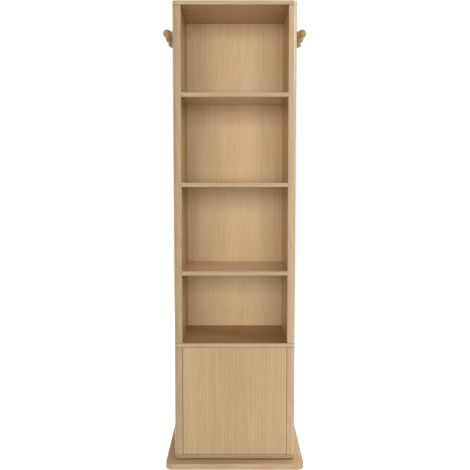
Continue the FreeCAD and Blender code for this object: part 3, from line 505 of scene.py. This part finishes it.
def oak(name, grain, heart, tone=1.0, **look):
    """Oak veneer for one board, whose tone may be paler as painted light or deeper as painted shade."""
    finish = bpy.context.scene.cabinet_finish
    tint = tone if isinstance(tone, tuple) else (tone,) * 3
    return wood(name, tinted(finish.oak_pale, tint), tinted(finish.oak_deep, tint), grain, heart, **look)


def plain_finish(name, tone, roughness, metallic=0.0, depth=0.2, scale=800.0):
    """Metal, plastic or rubber with a speckled surface."""
    made, tree, shader, where = blank_material(name)
    look = effect(tree, "speckle", {"Vector": where, "Color": opaque(tone), "Depth": depth, "Scale": scale})
    fill(tree, shader, {
        "Base Color": look["Color"],
        "Roughness": spread(tree, look["Mask"], 0.3, 0.7, roughness * 0.8, min(1.0, roughness * 1.25)),
        "Metallic": metallic,
        "Normal": bump(tree, look["Height"], depth=0.03 * MM, strength=0.4)})
    return made


def metal(name, tone, roughness, **look):
    return plain_finish(name, tone, roughness, metallic=1.0, **look)


def silvered_glass():
    """The mirror's face, with the faint smears of wiping."""
    made, tree, shader, where = blank_material("mirror_silver")
    smear = drawn_out(tree, where, 0.3, 14.0, 4.0, 0.6)
    fill(tree, shader, {
        "Base Color": mix_colours(tree, smear, opaque(shade(238, 243, 241)), opaque(shade(231, 238, 236))),
        "Roughness": spread(tree, smear, 0.45, 0.8, 0.012, 0.05),
        "Metallic": 1.0})
    return made


def glass_edge():
    """The mirror's ground and polished edge, with the green of float glass."""
    made, tree, shader, where = blank_material("mirror_edge")
    grind = noise(tree, where, scale=700.0, detail=3.0)
    fill(tree, shader, {
        "Base Color": mix_colours(tree, grind, opaque(shade(134, 176, 160)), opaque(shade(176, 208, 196))),
        "Roughness": spread(tree, grind, 0.3, 0.7, 0.12, 0.3),
        "Coat Weight": 0.5,
        "Normal": bump(tree, grind, depth=0.02 * MM, strength=0.3)})
    return made


def dress(material, *names):
    """Gives CAD nodes their finish."""
    for name in names:
        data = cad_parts[name].data
        data.materials.clear()
        data.materials.append(material)


# ---------------------------------------------------------------- shapes
DRILL_STEPS = 48
FLAT_BELOW = math.radians(35)
SHARP_ABOVE = math.radians(40)
TURNED_SHARP_ABOVE = math.radians(50)
WELD = 0.01 * MM


def centre(name):
    low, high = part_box(name)
    return (low + high) / 2


def reaches(name):
    """The side of the turning axis that a panel stands on, and how far off its inner and outer faces are."""
    low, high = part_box(name)
    inner, outer = sorted((abs(low.x), abs(high.x)))
    return (1 if high.x > 0 else -1), inner, outer


def quarter(x, y, radius, start, steps):
    """A quarter-round corner about a centre, from a start angle in quarter turns."""
    turns = [(start + i / steps) * QUARTER_TURN for i in range(steps + 1)]
    return [(x + radius * math.cos(turn), y + radius * math.sin(turn)) for turn in turns]


def round_plan(low, high, radius, steps, room=0.0):
    """A rectangle with round corners, with room round a box, counter-clockwise from above."""
    x0, y0 = low.x - room + radius, low.y - room + radius
    x1, y1 = high.x + room - radius, high.y + room - radius
    return [
        point
        for start, (x, y) in ((2, (x0, y0)), (3, (x1, y0)), (0, (x1, y1)), (1, (x0, y1)))
        for point in quarter(x, y, radius, start, steps)
    ]


def finished(name, shape):
    """An object in the scene from a bmesh."""
    mesh = bpy.data.meshes.new(name)
    shape.to_mesh(mesh)
    shape.free()
    made = bpy.data.objects.new(name, mesh)
    bpy.context.scene.collection.objects.link(made)
    return made


def slab(name, plan, z0, z1):
    """A flat piece with the given plan between two levels."""
    shape = bmesh.new()
    low = [shape.verts.new((x, y, z0)) for x, y in plan]
    high = [shape.verts.new((x, y, z1)) for x, y in plan]
    shape.faces.new(low[::-1])
    shape.faces.new(high)
    for i in range(len(plan)):
        j = (i + 1) % len(plan)
        shape.faces.new((low[i], low[j], high[j], high[i]))
    return finished(name, shape)


def drill(place, direction, radius, depth):
    """A cylinder that is cut from a piece."""
    shape = bmesh.new()
    bmesh.ops.create_cone(
        shape, cap_ends=True, segments=DRILL_STEPS, radius1=radius, radius2=radius, depth=depth)
    turn = Vector(UP).rotation_difference(Vector(direction)).to_matrix().to_4x4()
    bmesh.ops.transform(shape, matrix=turn, verts=shape.verts)
    bmesh.ops.translate(shape, vec=place, verts=shape.verts)
    return finished("drill", shape)


def baked(made):
    """Swaps an object's mesh for what its modifiers make of it."""
    result = bpy.data.meshes.new_from_object(made.evaluated_get(bpy.context.evaluated_depsgraph_get()))
    made.modifiers.clear()
    made.data = result
    return made


def smoothed(made, sharp_above):
    made.data.shade_smooth()
    made.data.set_sharp_from_angle(angle=sharp_above)
    return made


def worked(made, ease, drills=(), steps=3):
    """Eases an object's edges, drills it, and leaves its flat faces flat and its round ones smooth."""
    round_over = made.modifiers.new("ease", "BEVEL")
    round_over.width = ease
    round_over.segments = steps
    round_over.angle_limit = FLAT_BELOW
    for bit in drills:
        cut = made.modifiers.new("drill", "BOOLEAN")
        cut.operation = "DIFFERENCE"
        cut.object = bit
        cut.solver = "EXACT"
    baked(made)
    for bit in drills:
        bpy.data.objects.remove(bit)
    smoothed(made, SHARP_ABOVE)
    made.modifiers.new("normals", "WEIGHTED_NORMAL").keep_sharp = True
    return baked(made)


def by_name(settings):
    """A group's settings by the names that the panel shows, which geometry trees give to their inputs."""
    shown = settings.bl_rna.properties
    return {shown[key].name: getattr(settings, key) for key in settings.__annotations__}


def grown(name, tree, values):
    """An object that a geometry tree makes from named values, welded and smooth, with its faces outwards."""
    made = finished(name, bmesh.new())
    modifier = made.modifiers.new("shape", "NODES")
    modifier.node_group = tree
    for item in tree.interface.items_tree:
        if item.in_out == "INPUT":
            modifier[item.identifier] = values[item.name]
    baked(made)
    shape = bmesh.new()
    shape.from_mesh(made.data)
    bmesh.ops.remove_doubles(shape, verts=shape.verts, dist=WELD)
    bmesh.ops.recalc_face_normals(shape, faces=shape.faces)
    shape.to_mesh(made.data)
    shape.free()
    return smoothed(made, TURNED_SHARP_ABOVE)


def made_real(tree, geometry, material):
    """The end of a geometry tree: instances made real, with their material."""
    real = node(tree, "GeometryNodeRealizeInstances", {"Geometry": geometry}).outputs[0]
    return node(tree, "GeometryNodeSetMaterial", {"Geometry": real, "Material": material}).outputs[0]


def stands_for(made, body, slot, material, *nodes):
    """Hangs a piece on its body in place of CAD nodes, with the given material; the slot is not used."""
    made.data.materials.clear()
    made.data.materials.append(material)
    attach(made, body)
    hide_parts(*nodes)
    return made


# ---------------------------------------------------------------- pieces
class CABINET_OT_base(bpy.types.Operator):
    """Makes the base plate and finishes its pads"""

    bl_idname = "cabinet.base"
    bl_label = "Base Plate"

    def execute(self, context):
        sizes = context.scene.cabinet_sizes
        low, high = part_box("base_plate")
        pad = sizes.pad_radius
        pads_low, pads_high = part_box("base_pads")
        drills = [
            drill((x, y, 0.0), UP, pad + sizes.drill_play, 2 * pads_high.z)
            for x in (pads_low.x + pad, pads_high.x - pad)
            for y in (pads_low.y + pad, 0.0, pads_high.y - pad)
        ]
        through = 4 * (high.z - low.z)
        drills.append(drill((0.0, sizes.access_hole_at, high.z), UP, sizes.access_hole_radius, through))
        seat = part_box("bearing_lower_plate")
        room = sizes.recess_play
        recess = round_plan(*seat, sizes.recess_corner, sizes.corner_steps, room)
        drills.append(slab("recess", recess, seat[0].z, high.z + room))
        plan = round_plan(low, high, sizes.base_corner_radius, sizes.corner_steps)
        plate = worked(slab("oak_base_plate", plan, low.z, high.z), sizes.base_ease, drills, steps=4)
        stands_for(plate, "base", "oak_board", oak(
            "base_oak", GRAIN_ALONG_X, (0.1, 0.9, 0.35), 1.08, sheen=OILED), "base_plate")
        dress(plain_finish("pad_rubber", shade(52, 51, 50), 0.8, depth=0.5), "base_pads")
        return {"FINISHED"}


class CABINET_OT_bearing(bpy.types.Operator):
    """Finishes the ball bearing: pressed plates, cage, balls and screws"""

    bl_idname = "cabinet.bearing"
    bl_label = "Ball Bearing"

    def execute(self, context):
        zinc = metal("zinc_plate", shade(176, 179, 182), 0.38, depth=0.35, scale=300.0)
        dress(zinc, "bearing_lower_plate", "bearing_upper_plate")
        dress(metal("cage_steel", shade(150, 148, 142), 0.45, depth=0.4), "ball_cage")
        dress(metal("ball_steel", shade(214, 216, 219), 0.12, depth=0.1), "bearing_balls")
        dress(metal("bearing_screw_zinc", ZINC, 0.32, depth=0.3),
              "bearing_lower_screws", "bearing_upper_screws")
        return {"FINISHED"}


def board_faces(name, corner, tint, coat):
    """The tint that paints light and shade on a board's broad faces, the coat there, and the plan where its
    edge strips begin.
    """
    low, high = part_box(name)
    return tint, coat, high.x - STRIP, -low.y - STRIP, max(0.0, corner - STRIP)


class CABINET_OT_boards(bpy.types.Operator):
    """Makes the bottom board, the deck over the cupboard and the top board"""

    bl_idname = "cabinet.boards"
    bl_label = "Cross Boards"

    def execute(self, context):
        sizes = context.scene.cabinet_sizes
        corner = sizes.corner_radius
        # tones and face tints paint shade: the bottom board deeper where it sits over the base, and the
        # deck's and top board's broad faces deeper and warmer as the shade in the bays
        leaf_tones_and_shade = {
            "bottom_board": ((0.2, 0.3, -0.04), 0.78, (1.0, 0.93, 0.8), SATIN[1]),
            "deck_board": ((0.9, 0.62, 0.05), 0.97, (0.88, 0.79, 0.56), 0.0),
            "top_board": ((0.5, 1.31, 0.12), 0.97, (1.0, 0.88, 0.64), SATIN[1]),
        }
        for name, (heart, tone, *faces) in leaf_tones_and_shade.items():
            low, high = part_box(name)
            plan = round_plan(low, high, corner, sizes.corner_steps)
            board = worked(slab("oak_" + name, plan, low.z, high.z), sizes.board_ease)
            stands_for(board, "cabinet", "oak_board", oak(
                name + "_oak", GRAIN_ALONG_X, heart, tone, sheen=SATIN,
                inner=board_faces(name, corner, *faces)), name)
        return {"FINISHED"}


def side_plan(name, grooved, sizes):
    """Plan of a side panel: round outside, a small arris inside, and grooves for the thin panels."""
    low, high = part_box(name)
    side, inner, outer = reaches(name)
    small, large = sizes.inner_arris, sizes.corner_radius
    plan = [
        *quarter(inner + small, low.y + small, small, 2, sizes.arris_steps),
        *quarter(outer - large, low.y + large, large, 3, sizes.corner_steps),
        *quarter(outer - large, high.y - large, large, 0, sizes.corner_steps),
        *quarter(inner + small, high.y - small, small, 1, sizes.arris_steps),
    ]
    for panel in grooved:
        panel_low, panel_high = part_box(panel)
        rear, front = panel_high.y + sizes.groove_play, panel_low.y - sizes.groove_play
        bottom = panel_high.x + sizes.groove_end_play
        plan += [(inner, rear), (bottom, rear), (bottom, front), (inner, front)]
    if side > 0:
        return plan
    return [(-x, y) for x, y in reversed(plan)]


def cam_drills(name, cams, sizes):
    """Drills for the cams in one side panel's inner face."""
    side, inner, _ = reaches(name)
    drills = []
    for cam in cams:
        cam_low, cam_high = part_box(cam)
        radius = (cam_high.z - cam_low.z) / 2
        z = centre(cam).z
        for y in (cam_low.y + radius, cam_high.y - radius):
            drills.append(drill(
                (side * inner, y, z), (1, 0, 0), radius + sizes.drill_play, 2 * (cam_high.x - inner)))
    return drills


class CABINET_OT_sides(bpy.types.Operator):
    """Makes the four side panels, with their round outside corners, grooves and cam pockets"""

    bl_idname = "cabinet.sides"
    bl_label = "Side Panels"

    def execute(self, context):
        sizes = context.scene.cabinet_sizes
        # the left panels are deeper as painted shade and the right ones paler as painted light from the lamps
        # at the right; the inner-face tints paint the warm shade inside the bays
        leaf_tones_and_shade = {
            "left": ((0.19, 0.07, -0.9), 0.9, (0.95, 0.85, 0.69)),
            "right": ((-0.23, 0.12, -0.35), 1.02, (1.12, 0.98, 0.7)),
        }
        inner_coat = 0.35
        cases = (
            ("upper_side_", ("mirror_backing", "shelf_back_panel"), ()),
            ("lower_side_", ("cupboard_back_panel",), ("bottom_board_cams", "lower_deck_cams")),
        )
        for hand, (heart, tone, tint) in leaf_tones_and_shade.items():
            inner = reaches("upper_side_" + hand)[1]
            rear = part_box("upper_side_" + hand)[1].y
            material = oak(
                hand + "_side_oak", GRAIN_UP, heart, tone, sheen=SATIN,
                inner=(tint, inner_coat, inner + STRIP, rear, 0.0))
            for case, grooved, cams in cases:
                name = case + hand
                low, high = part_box(name)
                panel = slab("oak_" + name, side_plan(name, grooved, sizes), low.z, high.z)
                worked(panel, sizes.board_ease, cam_drills(name, cams, sizes))
                stands_for(panel, "cabinet", "oak_board", material, name)
        return {"FINISHED"}


class CABINET_OT_shelves(bpy.types.Operator):
    """Finishes the shelves and the panel behind them"""

    bl_idname = "cabinet.shelves"
    bl_label = "Shelves"

    def execute(self, context):
        for i, name in enumerate(("lower_shelf", "middle_shelf", "upper_shelf")):
            heart = (0.37 * i, 0.21 + 0.3 * i, 0.04 + 0.05 * i)
            # the shelves' broad faces are tinted paler and warmer, as painted light bounced onto them
            faces = board_faces(name, 0.0, (1.28, 1.11, 0.8), GLOSSED[1])
            dress(oak(name + "_oak", GRAIN_ALONG_X, heart, 0.87, sheen=GLOSSED, inner=faces), name)
        # the back panel is tinted paler, as painted light and sheen in the bays
        dress(oak("shelf_back_oak", GRAIN_UP, (-0.05, -0.03, -0.6), (1.26, 1.31, 1.38), figure=0.45),
              "shelf_back_panel")
        dress(metal("back_screw_zinc", shade(190, 188, 180), 0.35), "back_panel_screws")
        return {"FINISHED"}


class CABINET_OT_back(bpy.types.Operator):
    """Makes the mirror and finishes the panels and the tape behind it"""

    bl_idname = "cabinet.back"
    bl_label = "Mirror and Back"

    def execute(self, context):
        low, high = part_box("mirror_glass")
        bevel = context.scene.cabinet_sizes.mirror_bevel
        shape = bmesh.new()
        rings = []
        for y, inset in ((low.y, 0.0), (high.y - bevel, 0.0), (high.y, bevel)):
            x0, x1 = low.x + inset, high.x - inset
            z0, z1 = low.z + inset, high.z - inset
            corners = ((x0, y, z0), (x1, y, z0), (x1, y, z1), (x0, y, z1))
            rings.append([shape.verts.new(corner) for corner in corners])
        shape.faces.new(rings[0])
        shape.faces.new(rings[-1][::-1])
        for near, far in zip(rings, rings[1:]):
            for i in range(4):
                j = (i + 1) % 4
                edge = shape.faces.new((near[i], near[j], far[j], far[i]))
                edge.material_index = 1
        bmesh.ops.recalc_face_normals(shape, faces=shape.faces)
        glass = finished("mirror", shape)
        stands_for(glass, "cabinet", "mirror", silvered_glass(), "mirror_glass")
        glass.data.materials.append(glass_edge())
        dress(oak("mirror_backing_oak", GRAIN_UP, (0.3, 0.5, -0.2)), "mirror_backing")
        dress(oak("cupboard_back_oak", GRAIN_UP, (0.04, -0.2, -0.1)), "cupboard_back_panel")
        dress(plain_finish("foam_tape", shade(196, 196, 190), 0.95, depth=0.4, scale=1500.0), "mirror_tape")
        return {"FINISHED"}


class CABINET_OT_door(bpy.types.Operator):
    """Makes the push-open door and finishes its pivots"""

    bl_idname = "cabinet.door"
    bl_label = "Cupboard Door"

    def execute(self, context):
        low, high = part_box("door_panel")
        plan = [(low.x, low.y), (high.x, low.y), (high.x, high.y), (low.x, high.y)]
        ease = context.scene.cabinet_sizes.door_ease
        door = worked(slab("oak_door", plan, low.z, high.z), ease, steps=5)
        stands_for(door, "door", "oak_board", oak("door_oak", GRAIN_UP, (-0.06, 0.19, -0.05)), "door_panel")
        dress(metal("pin_steel", shade(200, 201, 204), 0.25, depth=0.15), "door_pivot_pins")
        dress(plain_finish("bush_nylon", shade(126, 104, 76), 0.5, depth=0.15), "door_pivot_bushes")
        return {"FINISHED"}


def coil_tree():
    """Geometry nodes for a coil of round wire that stands along Z before it is turned and placed."""
    tree, given, result = new_tree(
        "coil_spring", "GeometryNodeTree",
        {"Spring Turns": "Float", "Coil Radius": "Float", "Spring Wire": "Float", "Rise": "Float",
         "Turn Steps": "Int", "Wire Steps": "Int", "Place": "Vector", "Turn": "Vector",
         "Material": "Material"},
        {"Geometry": "Geometry"})
    helix = node(tree, "GeometryNodeCurveSpiral", {
        "Resolution": given["Turn Steps"], "Rotations": given["Spring Turns"], "Height": given["Rise"],
        "Start Radius": given["Coil Radius"], "End Radius": given["Coil Radius"]})
    wire = node(tree, "GeometryNodeCurvePrimitiveCircle",
                {"Resolution": given["Wire Steps"], "Radius": given["Spring Wire"]})
    coil = node(tree, "GeometryNodeCurveToMesh", {
        "Curve": helix.outputs["Curve"], "Profile Curve": wire.outputs["Curve"], "Fill Caps": True})
    placed = node(tree, "GeometryNodeTransform", {
        "Geometry": coil.outputs["Mesh"], "Translation": given["Place"], "Rotation": given["Turn"]})
    tree.links.new(made_real(tree, placed.outputs[0], given["Material"]), result["Geometry"])
    return tree


def latch_coil(sizes, material):
    """The latch's coil spring, in the space that its CAD node holds."""
    low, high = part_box("latch_spring")
    middle = centre("latch_spring")
    wire = sizes.spring_wire
    return grown("latch_coil_spring", coil_tree(), {
        **by_name(sizes),
        "Coil Radius": (high.z - low.z) / 2 - wire,
        "Rise": high.y - low.y - 2 * wire,
        "Place": (middle.x, low.y + wire, middle.z),
        "Turn": (-QUARTER_TURN, 0.0, 0.0),
        "Material": material,
    })


class CABINET_OT_latch(bpy.types.Operator):
    """Finishes the push latch and its strike, and makes the coil spring that its plunger presses"""

    bl_idname = "cabinet.latch"
    bl_label = "Push Latch"

    def execute(self, context):
        dress(plain_finish("latch_grey", shade(176, 173, 168), 0.55, depth=0.25, scale=1800.0), "latch_body")
        dress(plain_finish("plunger_white", shade(226, 224, 217), 0.42, depth=0.12), "latch_plunger")
        dress(metal("magnet_nickel", shade(158, 158, 160), 0.3, depth=0.4), "plunger_magnet")
        dress(metal("strike_steel", shade(205, 206, 208), 0.28, depth=0.3, scale=400.0), "latch_strike")
        dress(metal("latch_screw_zinc", ZINC, 0.32, depth=0.3), "latch_screws", "strike_screw")
        steel = metal("spring_steel", shade(186, 188, 192), 0.22, depth=0.1)
        coil = latch_coil(context.scene.cabinet_latch, steel)
        stands_for(coil, "cabinet", "zinc_steel", steel, "latch_spring")
        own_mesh(coil)
        return {"FINISHED"}


# ---------------------------------------------------------------- coat pegs
# the lathe is a circle too small to see, and the outline that it carries is drawn from its middle
LATHE = 0.02 * MM
NECK_STEPS = 12
NOSE_STEPS = 18


def peg_tree():
    """Geometry nodes for a row of turned pegs that stand out from a side panel."""
    lengths = ("Foot Radius", "Waist Radius", "Waist At", "Neck Radius", "Neck Length", "Knob Radius",
               "Knob At", "Projection", "Spacing")
    tree, given, result = new_tree(
        "coat_peg_row", "GeometryNodeTree",
        {**dict.fromkeys(lengths, "Float"), "First Place": "Vector", "Turn": "Vector", "Count": "Int",
         "Round Steps": "Int", "Material": "Material"},
        {"Geometry": "Geometry"})

    def point(radius, along):
        return node(tree, "ShaderNodeCombineXYZ", {"X": minus(tree, radius, LATHE), "Y": along}).outputs[0]

    def pulled(start, x, y):
        pull = node(tree, "ShaderNodeCombineXYZ", {"X": x, "Y": y}).outputs[0]
        return vector_math(tree, "ADD", start, pull)

    def curve(start, start_pull, end_pull, end, steps):
        return node(tree, "GeometryNodeCurvePrimitiveBezierSegment", {
            "Resolution": steps, "Start": start, "Start Handle": pulled(start, *start_pull),
            "End Handle": pulled(end, *end_pull), "End": end})

    foot = point(given["Foot Radius"], 0.0)
    waist = point(given["Waist Radius"], given["Waist At"])
    neck = point(given["Neck Radius"], given["Neck Length"])
    widest = point(given["Knob Radius"], given["Knob At"])
    tip = point(0.0, given["Projection"])
    flare = minus(tree, given["Knob Radius"], given["Neck Radius"])
    shoulder = minus(tree, given["Knob At"], given["Neck Length"])
    nose = minus(tree, given["Projection"], given["Knob At"])
    outline = node(tree, "GeometryNodeJoinGeometry", {})
    for part in (
        node(tree, "GeometryNodeCurvePrimitiveLine", {"Start": point(0.0, 0.0), "End": foot}),
        node(tree, "GeometryNodeCurveArc",
             {"Resolution": NECK_STEPS, "Start": foot, "Middle": waist, "End": neck}, mode="POINTS"),
        curve(neck, (times(tree, flare, 0.72), times(tree, flare, 0.25)),
              (0.0, times(tree, shoulder, -0.52)), widest, NECK_STEPS),
        curve(widest, (0.0, times(tree, nose, 0.62)),
              (times(tree, given["Knob Radius"], 0.6), 0.0), tip, NOSE_STEPS),
    ):
        tree.links.new(part.outputs["Curve"], outline.inputs[0])
    lathe = node(tree, "GeometryNodeCurvePrimitiveCircle",
                 {"Resolution": given["Round Steps"], "Radius": LATHE})
    turned = node(tree, "GeometryNodeCurveToMesh",
                  {"Curve": lathe.outputs["Curve"], "Profile Curve": outline.outputs[0]})
    welded = node(tree, "GeometryNodeMergeByDistance", {"Geometry": turned.outputs["Mesh"], "Distance": WELD})
    step = node(tree, "ShaderNodeCombineXYZ", {"Y": given["Spacing"]})
    row = node(tree, "GeometryNodeMeshLine",
               {"Count": given["Count"], "Start Location": given["First Place"], "Offset": step.outputs[0]})
    turn = node(tree, "FunctionNodeEulerToRotation", {"Euler": given["Turn"]})
    pegs = node(tree, "GeometryNodeInstanceOnPoints", {
        "Points": row.outputs["Mesh"], "Instance": welded.outputs[0], "Rotation": turn.outputs[0]})
    tree.links.new(made_real(tree, pegs.outputs["Instances"], given["Material"]), result["Geometry"])
    return tree


class CABINET_OT_pegs(bpy.types.Operator):
    """Turns the coat pegs on both sides and finishes their studs"""

    bl_idname = "cabinet.pegs"
    bl_label = "Coat Pegs"

    def execute(self, context):
        finish = context.scene.cabinet_finish
        material = wood("peg_oak", finish.peg_pale, finish.peg_deep, GRAIN_ALONG_X, (0.02, 0.013, 0.4))
        tree = peg_tree()
        for hand in ("left", "right"):
            side, _, panel = reaches("upper_side_" + hand)
            nodes = [f"{hand}_peg_{row}" for row in ("front", "middle", "rear")]
            low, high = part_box(nodes[0])
            first = centre(nodes[0])
            row = grown(hand + "_coat_pegs", tree, {
                **by_name(context.scene.cabinet_pegs),
                "Knob Radius": (high.y - low.y) / 2,
                "Projection": max(abs(low.x), abs(high.x)) - panel,
                "Spacing": centre(nodes[1]).y - first.y,
                "First Place": (side * panel, first.y, first.z),
                "Turn": (0.0, -side * QUARTER_TURN, 0.0),
                "Count": len(nodes),
                "Material": material,
            })
            stands_for(row, "cabinet", "oak_peg", material, *nodes)
            dress(metal(hand + "_stud_zinc", ZINC, 0.35), hand + "_peg_studs")
        return {"FINISHED"}


class CABINET_OT_fixings(bpy.types.Operator):
    """Finishes the dowels, cams and cam bolts"""

    bl_idname = "cabinet.fixings"
    bl_label = "Joint Fittings"

    def execute(self, context):
        pale = context.scene.cabinet_finish.beech
        finishes = {
            "_dowels": wood("dowel_beech", pale, DEEP_BEECH, GRAIN_UP, (0.0, 0.01, 0.0), wear=False),
            "_cams": metal("cam_zinc", shade(168, 170, 174), 0.42, depth=0.45, scale=500.0),
            "_cam_bolts": metal("cam_bolt_zinc", ZINC, 0.32, depth=0.3),
        }
        for ending, material in finishes.items():
            dress(material, *(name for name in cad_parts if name.endswith(ending)))
        return {"FINISHED"}


# ---------------------------------------------------------------- studio
FLOOR_REACH = 9.0
# distances from the cabinet over which the floor's paint fades out and its glow comes to full
PAINT_FADES = (2.0, 4.5)
GLOW_RISES = (0.5, 2.6)
SENSOR_MM = 36.0

# name, place, what it looks at, width, height, whether gloss shows it, and the setting with its power
LAMPS = (
    ("front_softbox", (-0.2, -6.0, 1.7), (0.0, 0.0, 1.1), 6.0, 2.6, False, "front_power"),
    ("side_lamp", (2.6, 0.45, 2.8), (0.0, 0.0, 0.9), 0.8, 0.8, False, "side_power"),
    ("edge_softbox", (3.1, -1.7, 2.3), (0.0, 0.0, 1.5), 1.0, 1.0, True, "edge_power"),
    ("left_fill", (-3.4, 1.4, 0.6), (0.0, 0.0, 0.9), 1.8, 0.9, False, "left_power"),
    ("rear_softbox", (1.0, 4.4, 1.6), (0.0, 0.0, 0.9), 2.4, 2.4, False, "rear_power"),
)


def seen_directly(tree):
    """1 for what the camera sees, straight or through gloss and glass, and 0 for what lights the object."""
    path = node(tree, "ShaderNodeLightPath", {}).outputs
    shiny = reckon(tree, "MAXIMUM", path["Is Glossy Ray"], path["Is Transmission Ray"])
    return reckon(tree, "MAXIMUM", path["Is Camera Ray"], shiny)


def make_sky(studio):
    """Even light from all round, in front of white."""
    world = bpy.data.worlds.new("studio_sky")
    bpy.context.scene.world = world
    world.use_nodes = True
    tree = world.node_tree
    tree.nodes.clear()
    light = node(tree, "ShaderNodeBackground", {"Color": WHITE, "Strength": studio.sky_strength})
    backdrop = node(tree, "ShaderNodeBackground", {"Color": WHITE, "Strength": 1.0})
    both = node(tree, "ShaderNodeMixShader", {
        0: seen_directly(tree), 1: light.outputs[0], 2: backdrop.outputs[0]})
    node(tree, "ShaderNodeOutputWorld", {"Surface": both.outputs[0]})


def make_floor(studio):
    """A pale floor that shows white but keeps the cabinet's shadow."""
    shape = bmesh.new()
    corners = ((-1, -1), (1, -1), (1, 1), (-1, 1))
    shape.faces.new([shape.verts.new((x * FLOOR_REACH, y * FLOOR_REACH, 0)) for x, y in corners])
    floor = finished("studio_floor", shape)
    made, tree, shader, where = blank_material("floor_paint")
    grit = noise(tree, where, scale=60.0, detail=4.0)
    paint = mix_colours(tree, grit, opaque(studio.floor_colour), FLOOR_GRIT)
    away = node(tree, "ShaderNodeVectorMath", {0: where}, operation="LENGTH").outputs["Value"]
    # far from the cabinet the floor is glow alone, so that it meets the backdrop with no line
    glow = spread(tree, away, *GLOW_RISES, studio.floor_glow, 1.0)
    fill(tree, shader, {
        "Base Color": mix_colours(tree, spread(tree, away, *PAINT_FADES), paint, BLACK),
        "Roughness": 0.9,
        "Specular IOR Level": 0.0,
        "Emission Color": WHITE,
        "Emission Strength": times(tree, seen_directly(tree), glow)})
    floor.data.materials.append(made)


def make_lamp(name, place, target, width, height, shines, power):
    """A soft lamp with a flat face that looks at a point, and that may stay out of reflections."""
    data = bpy.data.lights.new(name, "AREA")
    data.shape = "RECTANGLE"
    data.size = width
    data.size_y = height
    data.energy = power
    lamp = bpy.data.objects.new(name, data)
    lamp.visible_glossy = shines
    bpy.context.scene.collection.objects.link(lamp)
    lamp.location = place
    lamp.rotation_euler = (Vector(target) - Vector(place)).to_track_quat("-Z", "Y").to_euler()


class CABINET_OT_studio(bpy.types.Operator):
    """Sets up the floor, the lamps, the sky and the camera"""

    bl_idname = "cabinet.studio"
    bl_label = "Studio"

    def execute(self, context):
        studio = context.scene.cabinet_studio
        make_sky(studio)
        make_floor(studio)
        for *lamp, setting in LAMPS:
            make_lamp(*lamp, getattr(studio, setting))
        data = bpy.data.cameras.new("studio_camera")
        data.lens = studio.lens
        data.sensor_width = SENSOR_MM
        camera = bpy.data.objects.new("studio_camera", data)
        context.scene.collection.objects.link(camera)
        camera.location = studio.camera_place
        camera.rotation_euler = (QUARTER_TURN - studio.camera_pitch, 0.0, 0.0)
        context.scene.camera = camera
        context.scene.view_settings.view_transform = "Standard"
        return {"FINISHED"}


# ---------------------------------------------------------------- panel and registration
STEPS = (
    CABINET_OT_studio,
    CABINET_OT_base,
    CABINET_OT_bearing,
    CABINET_OT_boards,
    CABINET_OT_sides,
    CABINET_OT_shelves,
    CABINET_OT_back,
    CABINET_OT_door,
    CABINET_OT_latch,
    CABINET_OT_pegs,
    CABINET_OT_fixings,
)
SETTINGS = {
    "cabinet_sizes": CabinetSizes,
    "cabinet_pegs": PegSizes,
    "cabinet_latch": LatchSizes,
    "cabinet_finish": CabinetFinish,
    "cabinet_studio": StudioSettings,
}


class CABINET_PT_panel(bpy.types.Panel):
    """Lists the cabinet's settings and the steps that make it"""

    bl_idname = "CABINET_PT_panel"
    bl_label = "Revolving Cabinet"
    bl_space_type = "VIEW_3D"
    bl_region_type = "UI"
    bl_category = "Cabinet"

    def draw(self, context):
        for group in SETTINGS:
            settings = getattr(context.scene, group)
            box = self.layout.box()
            box.label(text=group.removeprefix("cabinet_").title())
            for name in settings.__annotations__:
                box.prop(settings, name)
        for step in STEPS:
            self.layout.operator(step.bl_idname)


CLASSES = (*SETTINGS.values(), *STEPS, CABINET_PT_panel)


def register():
    for item in CLASSES:
        bpy.utils.register_class(item)
    for name, group in SETTINGS.items():
        setattr(bpy.types.Scene, name, PointerProperty(type=group))


def unregister():
    for name in SETTINGS:
        delattr(bpy.types.Scene, name)
    for item in reversed(CLASSES):
        bpy.utils.unregister_class(item)


def main():
    register()
    for step in STEPS:
        family, name = step.bl_idname.split(".")
        getattr(getattr(bpy.ops, family), name)()


if __name__ == "__main__":
    main()
